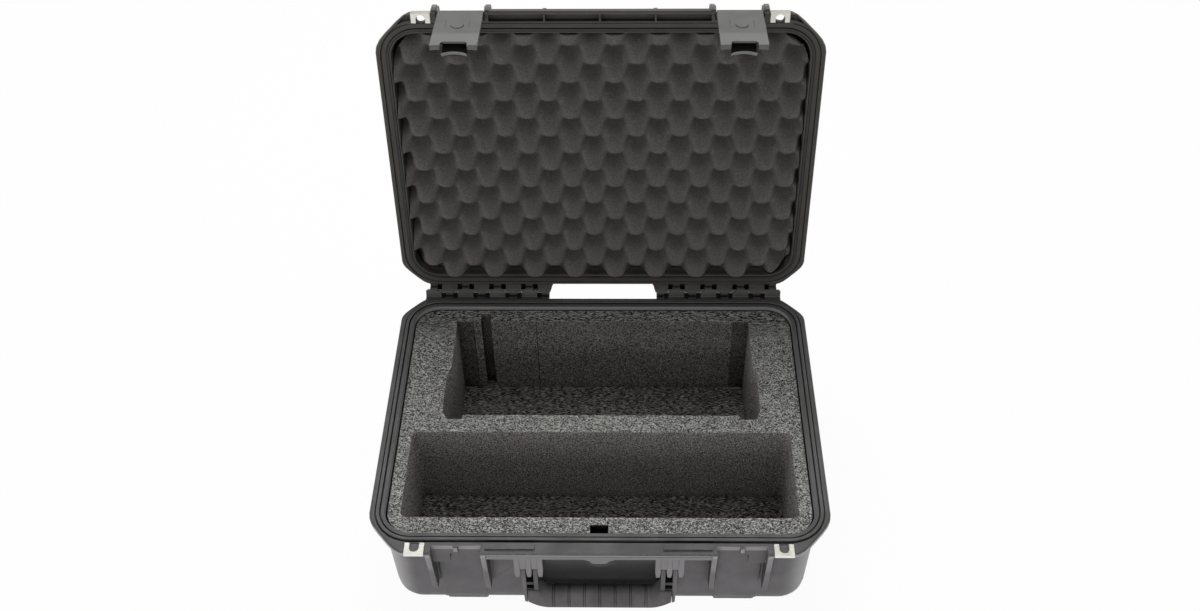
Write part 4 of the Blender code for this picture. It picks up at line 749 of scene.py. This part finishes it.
def shape_of(node):
    """A CAD node's triangles, joined at their shared corners."""
    shape = bmesh.new()
    shape.from_mesh(frame["nodes"][node].data)
    bmesh.ops.remove_doubles(shape, verts=shape.verts, dist=weld)
    return shape


def dressed(node, body, material, edge, reshape=None):
    """A CAD node with its triangles made whole faces and its edges rounded, reshaped first if asked."""
    shape = shape_of(node)
    bmesh.ops.dissolve_degenerate(shape, edges=shape.edges, dist=shortest_edge)
    bmesh.ops.dissolve_limit(shape, angle_limit=flat_within, verts=shape.verts, edges=shape.edges)
    bmesh.ops.connect_verts_concave(shape, faces=shape.faces)
    if reshape:
        reshape(shape)
    piece = finish_piece(shape, node + "_dressed", body, material, (node,), smooth_bend)
    bevel = piece.modifiers.new("rounded_edges", "BEVEL")
    bevel.width = edge
    bevel.segments = edge_segments
    bevel.limit_method = "ANGLE"
    bevel.angle_limit = smooth_bend
    bevel.use_clamp_overlap = False
    bevel.miter_outer = "MITER_ARC"
    weighted = piece.modifiers.new("flat_faces", "WEIGHTED_NORMAL")
    weighted.keep_sharp = True


def apply_modifiers(piece):
    """Makes what a piece's modifiers give its own mesh."""
    graph = bpy.context.evaluated_depsgraph_get()
    mesh = bpy.data.meshes.new_from_object(piece.evaluated_get(graph))
    piece.modifiers.clear()
    piece.data = mesh


def boolean_with(piece, helper, operation):
    """Cuts a piece with a helper, which is used up."""
    modifier = piece.modifiers.new(helper.name, "BOOLEAN")
    modifier.operation = operation
    modifier.solver = "EXACT"
    modifier.object = helper
    apply_modifiers(piece)
    piece.data.set_sharp_from_angle(angle=smooth_bend)
    bpy.data.objects.remove(helper, do_unlink=True)


def held_share(value, start, end):
    """How far a value is on its way from a start to an end, held between 0 and 1."""
    return min(max((value - start) / (end - start), 0), 1)


def rectangle(low_x, high_x, low_y, high_y):
    """Corners of a level rectangle, counter-clockwise."""
    return [(low_x, low_y), (high_x, low_y), (high_x, high_y), (low_x, high_y)]


def rounded_outline(half_x, half_y, corner, steps):
    """Level points of a rounded rectangle, counter-clockwise."""
    points = []
    for quarter, (side_x, side_y) in enumerate(((1, 1), (-1, 1), (-1, -1), (1, -1))):
        for step in range(steps + 1):
            angle = pi / 2 * (quarter + step / steps)
            x = side_x * (half_x - corner) + corner * cos(angle)
            y = side_y * (half_y - corner) + corner * sin(angle)
            points.append((x, y))
    return points


def loft(rings):
    """A closed bmesh through outlines of equally many points, from the first to the last."""
    shape = bmesh.new()
    loops = [[shape.verts.new(point) for point in ring] for ring in rings]
    edges = [[shape.edges.new(pair) for pair in zip(loop[-1:] + loop, loop)] for loop in loops]
    for below, above in zip(edges, edges[1:]):
        bmesh.ops.bridge_loops(shape, edges=below + above)
    for loop in (loops[0], loops[-1]):
        shape.faces.new(loop)
    bmesh.ops.recalc_face_normals(shape, faces=shape.faces)
    return shape


def prism(points, low, high):
    """A bmesh of an outline extruded upwards from one level to another."""
    return loft([[(x, y, level) for x, y in points] for level in (low, high)])


# The moulded and pressed parts, taken from their CAD nodes
lip_starts = 0.186
lip_ends = 0.171
lip_arch = 0.0036
lip_half = 0.0136
lip_pieces = 11
longest_edge = 0.004
washer_radius = 0.0115
washer_sides = 40
washer_outer = 0.0271
washer_inner = 0.0257


def arch_lip(shape, middle):
    """Draws the trigger's finger lip back in the middle, so that it runs in a shallow arch."""
    spans = [edge for edge in shape.edges if abs(edge.verts[0].co.x - edge.verts[1].co.x) > longest_edge]
    bmesh.ops.subdivide_edges(shape, edges=spans, cuts=lip_pieces, use_grid_fill=True)
    for vert in shape.verts:
        near = held_share(vert.co.y, lip_starts, lip_ends)
        across = min(abs(vert.co.x - middle) / lip_half, 1)
        vert.co.y += lip_arch * near * (1 - across * across)


def make_washer(name, middle, way):
    """The shoulder that keeps a latch between its two posts."""
    shape = bmesh.new()
    bmesh.ops.create_cone(
        shape, cap_ends=True, segments=washer_sides, radius1=washer_radius, radius2=washer_radius,
        depth=washer_outer - washer_inner,
    )
    place = Vector((middle + way * (washer_outer + washer_inner) / 2, latch_pivot.y, latch_pivot.z))
    turned = Matrix.Translation(place) @ Matrix.Rotation(pi / 2, 4, "Y")
    bmesh.ops.transform(shape, matrix=turned, verts=shape.verts)
    finish_piece(shape, name, "lid", lid_plastic)


def dress_latch(side, middle):
    """A latch's plate and trigger, and the two washers beside it."""
    dressed(f"latch_plate_{side}", f"latch_{side}", latch_plastic, small_edge)
    dressed(
        f"latch_trigger_{side}", f"trigger_{side}", trigger_plastic, small_edge,
        reshape=lambda shape: arch_lip(shape, middle),
    )
    for way in (-1, 1):
        make_washer(f"latch_washer_{side}_{'outer' if way * middle > 0 else 'inner'}", middle, way)


def dress_rigid_nodes():
    """The shells, the handle's frame, the valve, the latches and the padlock plates."""
    dressed("base_shell", "base", case_plastic, shell_edge)
    dressed("lid_shell", "lid", lid_plastic, shell_edge)
    dressed("handle_frame", "handle", case_plastic, small_edge)
    dressed("valve_body", "base", valve_plastic, small_edge)
    dressed("valve_cap", "base", valve_plastic, small_edge)
    dressed("valve_nut", "base", trigger_plastic, small_edge)
    for side, middle in (("left", -latch_centre_x), ("right", latch_centre_x)):
        dress_latch(side, middle)
        for body in ("base", "lid"):
            dressed(f"padlock_plate_{body}_{side}", body, steel, sheet_edge)


def set_material(node, material):
    """Gives a CAD node a finish of its own."""
    mesh = frame["nodes"][node].data
    mesh.materials.clear()
    mesh.materials.append(material)


def paint_kept_nodes():
    """CAD nodes whose shape is already right get their finish only."""
    for node in frame["nodes"]:
        if node.split("_")[1] in ("pin", "spring"):
            set_material(node, steel)
    set_material("lid_gasket", seal_rubber)
    set_material("valve_seal", seal_rubber)


# Egg-crate foam in the lid
egg_pitch_x = 0.05075
egg_pitch_y = 0.0472
egg_phase_x = 0.016
egg_first_row = 0.0030
egg_phase_y = inner_half_y - egg_first_row
egg_peak = 0.0069
egg_height = 0.0258
egg_sag = 0.0090
egg_breadth = 0.45
egg_cell = 0.0026
egg_side_gap = 0.0015
egg_corner = 0.040
egg_back = rim_height + lid_inner_depth - egg_side_gap


def egg_point(x, y):
    """A point of the wavy face: high points sag towards the hinge, over the dips below them."""
    across = cos(2 * pi * (x - egg_phase_x) / egg_pitch_x)
    across *= 1 + egg_breadth * (1 - across * across)
    wave = across * cos(2 * pi * (y - egg_phase_y) / egg_pitch_y)
    return Vector((x, y + egg_sag * wave / 2, rim_height - egg_peak + egg_height * (1 - wave) / 2))


def wavy_slab():
    """A fine grid raised to the peaks and dips, with a flat back."""
    half_x, half_y = inner_half_x, inner_half_y + egg_sag
    shape = bmesh.new()
    bmesh.ops.create_grid(
        shape, x_segments=ceil(2 * half_x / egg_cell), y_segments=ceil(2 * half_y / egg_cell), size=1
    )
    bmesh.ops.scale(shape, vec=(half_x, half_y, 1), verts=shape.verts)
    crate = list(shape.verts)
    made = bmesh.ops.extrude_face_region(shape, geom=shape.faces[:])
    for vert in crate:
        vert.co = egg_point(vert.co.x, vert.co.y)
    for vert in (item for item in made["geom"] if isinstance(item, bmesh.types.BMVert)):
        vert.co.z = egg_back
    bmesh.ops.recalc_face_normals(shape, faces=shape.faces)
    return shape


def make_egg_foam():
    """Convoluted foam, trimmed to the lid's rounded outline and turned open with the lid."""
    foam = finish_piece(wavy_slab(), "egg_crate_foam", "lid", egg_foam, ("lid_foam",), egg_bend)
    half_x, half_y = inner_half_x - egg_side_gap, inner_half_y - egg_side_gap
    outline = rounded_outline(half_x, half_y, egg_corner, corner_steps)
    trim = new_object(prism(outline, rim_height - 2 * egg_peak, egg_back + egg_peak), "egg_foam_trim")
    boolean_with(foam, trim, "INTERSECT")
    foam.data.transform(opened)


# Foam in the base
foam_sunk = 0.007
foam_round = 0.004
foam_top = rim_height - foam_sunk
foam_low = 0.0183
foam_side_gap = 0.001
foam_steps = (
    (-0.0083, foam_low),
    (-0.0067, 0.0210),
    (-0.0052, 0.0250),
    (-0.0042, 0.0290),
    (-0.0040, 0.0320),
    (-0.0002, foam_top - foam_round),
    (-0.0013, foam_top),
)
past = 0.002
rear_half = 0.183
rear_wide = 0.1875
rear_back = 0.148
rear_front = -0.002
rear_jog_y = 0.073
rear_jog_run = 0.012
rear_toe = 0.006
rear_toe_x = 0.163
rear_slot = (-0.1534, -0.1409)
rear_slot_back = 0.160
front_half = 0.2195
front_back = -0.027
front_front = -0.145
front_corner = 0.007
front_corner_steps = 4
notch_half = 0.010
notch_back = -0.1546
notch_depth = 0.055
foam_seams = (-0.1635, -0.0837)
seam_half = 0.0004
seam_depth = 0.004
pad_gap = 0.011
pad_corner = 0.023
pad_low = 0.0085
pad_high = 0.0178


def wall_ring(offset, z):
    """The rounded outline of the case's inside at a distance out from the rim's inner edge."""
    half_x, half_y, corner = (size + offset for size in (inner_half_x, inner_half_y, inner_corner))
    points = rounded_outline(half_x, half_y, corner, corner_steps)
    return [(x, y, z) for x, y in points]


def rear_outline():
    """The rear cavity: toes at its front corners, a jog in each side, and a slot in its back wall."""
    toe_y = rear_front - rear_toe
    right = [
        (rear_toe_x, rear_front),
        (rear_toe_x, toe_y),
        (rear_wide - rear_toe, toe_y),
        (rear_wide, toe_y + 2 * rear_toe),
        (rear_wide, rear_jog_y - rear_jog_run),
        (rear_half, rear_jog_y),
        (rear_half, rear_back),
    ]
    left = [(-x, y) for x, y in reversed(right)]
    low, high = rear_slot
    slot = [(high, rear_back), (high, rear_slot_back), (low, rear_slot_back), (low, rear_back)]
    return right + slot + left


def front_outline():
    """The front cavity, a rounded rectangle."""
    middle = (front_back + front_front) / 2
    half_y = (front_back - front_front) / 2
    points = rounded_outline(front_half, half_y, front_corner, front_corner_steps)
    return [(x, y + middle) for x, y in points]


def make_block_foam():
    """The base's cut block, with its two cavities, its finger notch and the seams of its glued parts."""
    rings = [wall_ring(offset - foam_side_gap, z) for offset, z in foam_steps]
    block = finish_piece(
        loft(rings), "block_foam_dressed", "base", block_foam, ("base_foam_block",),
        smooth_bend,
    )
    notch = rectangle(-notch_half, notch_half, -inner_half_y, notch_back)
    cuts = [
        ("rear_cavity", rear_outline(), foam_low - past),
        ("front_cavity", front_outline(), foam_low - past),
        ("finger_notch", notch, rim_height - notch_depth),
    ]
    for x in foam_seams:
        seam = rectangle(x - seam_half, x + seam_half, rear_back - seam_depth, rear_back + seam_depth)
        cuts.append(("seam", seam, foam_low - past))
    for name, outline, low in cuts:
        boolean_with(block, new_object(prism(outline, low, foam_top + past), name), "DIFFERENCE")


def make_floor_foam():
    """The flat pad under the block, seen through its cavities."""
    outline = rounded_outline(inner_half_x - pad_gap, inner_half_y - pad_gap, pad_corner, corner_steps)
    shape = prism(outline, pad_low, pad_high)
    pad = finish_piece(shape, "floor_foam_dressed", "base", floor_foam, ("base_foam_floor",))


# Ribbed rubber grip
grip_bend_end = 0.0676
grip_half = 0.0799
grip_low = 0.0375
grip_end_rise = 0.0118
grip_edge = 0.003
grip_front = -0.194
grip_back = -0.1735
grip_arch = (
    (grip_front, 0.0475),
    (-0.1914, 0.0550),
    (-0.1868, 0.0605),
    (-0.1805, 0.0621),
    (-0.1752, 0.0597),
    (grip_back, 0.0565),
)
grip_shoulder = 0.0702
grip_heart = Vector((-0.184, 0.047))
grip_arch_steps = 5
bend_steps = 6
end_steps = 3
groove_count = 7
groove_side = 0.0003
groove_depth = 0.0008


def curve_through(points, steps):
    """Smooth points through the given ones, with their ends kept."""
    smooth = []
    padded = [points[0], *points, points[-1]]
    for before, start, end, after in zip(padded, padded[1:], padded[2:], padded[3:]):
        for step in range(steps):
            part = step / steps
            pull = (end - before) * part + (2 * before - 5 * start + 4 * end - after) * part * part
            smooth.append(start + (pull + (3 * start - before - 3 * end + after) * part ** 3) / 2)
    return smooth + [points[-1]]


def grip_ring(x, sunk):
    """The grip's outline across its bar, with its crown sunk by a groove's depth where it is ribbed."""
    bend = held_share(abs(x), grip_straight, grip_bend_end) ** 2
    low = grip_low + grip_end_rise * held_share(abs(x), grip_straight, grip_half) ** 2
    last = len(grip_arch) - 1
    tops = [grip_shoulder - (grip_edge if number in (0, last) else 0) for number in range(len(grip_arch))]
    arch = [Vector((y, z + (top - z) * bend)) for (y, z), top in zip(grip_arch, tops)]
    arch = curve_through(arch, grip_arch_steps)
    crown = [point - (point - grip_heart).normalized() * sunk for point in arch[1:-1]]
    under = [Vector((grip_back, low + grip_edge)), Vector((grip_back - grip_edge, low))]
    front = [Vector((grip_front + grip_edge, low)), Vector((grip_front, low + grip_edge))]
    return [(x, point.x, point.y) for point in [*front, arch[0], *crown, arch[-1], *under]]


def evenly(start, end, steps):
    """Places at equal steps from a start to an end, with both kept."""
    return [start + (end - start) * step / steps for step in range(steps + 1)]


def grip_stations():
    """Places along the grip, from its left end, each with how deep its crown is sunk there."""
    bends = evenly(grip_straight, grip_bend_end, bend_steps)
    bends += evenly(grip_bend_end, grip_half, end_steps)[1:]
    stations = [(x, 0) for x in bends] + [(-x, 0) for x in bends]
    for count in range(groove_count):
        middle = groove_pitch * (count - (groove_count - 1) / 2)
        for way in (-1, 1):
            stations.append((middle + way * (groove_half + groove_side), 0))
            stations.append((middle + way * groove_half, groove_depth))
    return sorted(stations)


def make_grip():
    """The grip over the handle's bar: smooth crown, seven grooves, and upturned ends."""
    shape = loft([grip_ring(x, sunk) for x, sunk in grip_stations()])
    grip = finish_piece(
        shape, "grip_ribbed", "handle", grip_rubber, ("handle_grip",), grip_bend
    )
    boolean_with(grip, new_object(shape_of("handle_frame"), "grip_core"), "DIFFERENCE")


# Floor, lamps and camera
stage_half = 12
floor_glow = 0.95
floor_paint = (0.9, 0.9, 0.9, 1)
white = (1, 1, 1, 1)
world_light = 0.22
lamps = (
    ("back_lamp", (-0.1, 1.15, 2.3), (0.0, 0.0, 0.15), 1.2, 45),
    ("front_lamp", (-0.5, -2.6, 0.45), (0.0, 0.0, 0.15), 1.6, 18),
    ("left_lamp", (-2.2, -0.5, 0.15), (0.0, -0.1, 0.1), 1.2, 18),
    ("right_lamp", (2.2, -0.5, 0.15), (0.0, -0.1, 0.1), 1.2, 14),
    ("over_lamp", (-0.1, -0.1, 2.3), (0.0, 0.0, 0.15), 0.8, 4),
)
camera_place = (0.02613, -0.96188, 1.34067)
camera_turn = radians(1.24)
camera_tilt = radians(-44.76)
camera_roll = radians(0.82)
camera_lens = 38.9
camera_sensor = 36
camera_shift = (-0.0029, -0.0311)


def seen_by_eye(tree):
    """1 for camera, glossy and transmission rays, and 0 for the rest."""
    path = place_node(tree, "ShaderNodeLightPath")
    direct = maths(tree, "MAXIMUM", path.outputs["Is Camera Ray"], path.outputs["Is Glossy Ray"])
    return maths(tree, "MAXIMUM", direct, path.outputs["Is Transmission Ray"])


def floor_material():
    """Pale paint that goes white to the camera and in reflections, and still takes a shadow."""
    material = bpy.data.materials.new("pale_floor")
    material.use_nodes = True
    tree = material.node_tree
    tree.nodes.remove(tree.nodes["Principled BSDF"])
    matte = place_node(tree, "ShaderNodeBsdfDiffuse", {"Color": floor_paint})
    glow = place_node(tree, "ShaderNodeEmission", {"Color": white, "Strength": 1.0})
    share = maths(tree, "MULTIPLY", seen_by_eye(tree), floor_glow)
    mixed = place_node(tree, "ShaderNodeMixShader", {0: share, 1: matte.outputs[0], 2: glow.outputs[0]})
    tree.links.new(mixed.outputs[0], tree.nodes["Material Output"].inputs["Surface"])
    return material


def make_stage():
    """A wide floor that keeps the case's soft shadow."""
    shape = bmesh.new()
    bmesh.ops.create_grid(shape, x_segments=1, y_segments=1, size=stage_half)
    pale_floor = new_object(shape, "pale_floor")
    pale_floor.data.materials.append(floor_material())


def make_world():
    """Plain daylight from all around, and white behind the case to the camera."""
    world = bpy.data.worlds.new("studio")
    scene.world = world
    world.use_nodes = True
    tree = world.node_tree
    background = tree.nodes["Background"]
    background.inputs["Color"].default_value = white
    strength = spread(tree, seen_by_eye(tree), 0.0, 1.0, world_light, 1.0)
    tree.links.new(strength, background.inputs["Strength"])


def make_lamps():
    """Square lamps, each with its name, place, aim, side and power."""
    for name, place, target, side, power in lamps:
        lamp = bpy.data.lights.new(name, "AREA")
        lamp.shape = "SQUARE"
        lamp.size = side
        lamp.energy = power
        lamp_object = bpy.data.objects.new(name, lamp)
        scene.collection.objects.link(lamp_object)
        aim = (Vector(target) - Vector(place)).to_track_quat("-Z", "Y")
        lamp_object.matrix_world = Matrix.Translation(Vector(place)) @ aim.to_matrix().to_4x4()
        lamp_object.visible_camera = False


def make_camera():
    """The camera as measured from the photograph."""
    camera = bpy.data.cameras.new("camera")
    camera.lens = camera_lens
    camera.sensor_width = camera_sensor
    camera.shift_x, camera.shift_y = camera_shift
    camera_object = bpy.data.objects.new("camera", camera)
    scene.collection.objects.link(camera_object)
    turn = Matrix.Rotation(camera_turn, 4, "Z") @ Matrix.Rotation(camera_tilt, 4, "X")
    turn = turn @ Matrix.Rotation(camera_roll, 4, "Y") @ Matrix.Rotation(pi / 2, 4, "X")
    camera_object.matrix_world = Matrix.Translation(Vector(camera_place)) @ turn
    scene.camera = camera_object


dress_rigid_nodes()
paint_kept_nodes()
make_egg_foam()
make_block_foam()
make_floor_foam()
make_grip()
make_stage()
make_world()
make_lamps()
make_camera()
scene.view_settings.view_transform = "Standard"
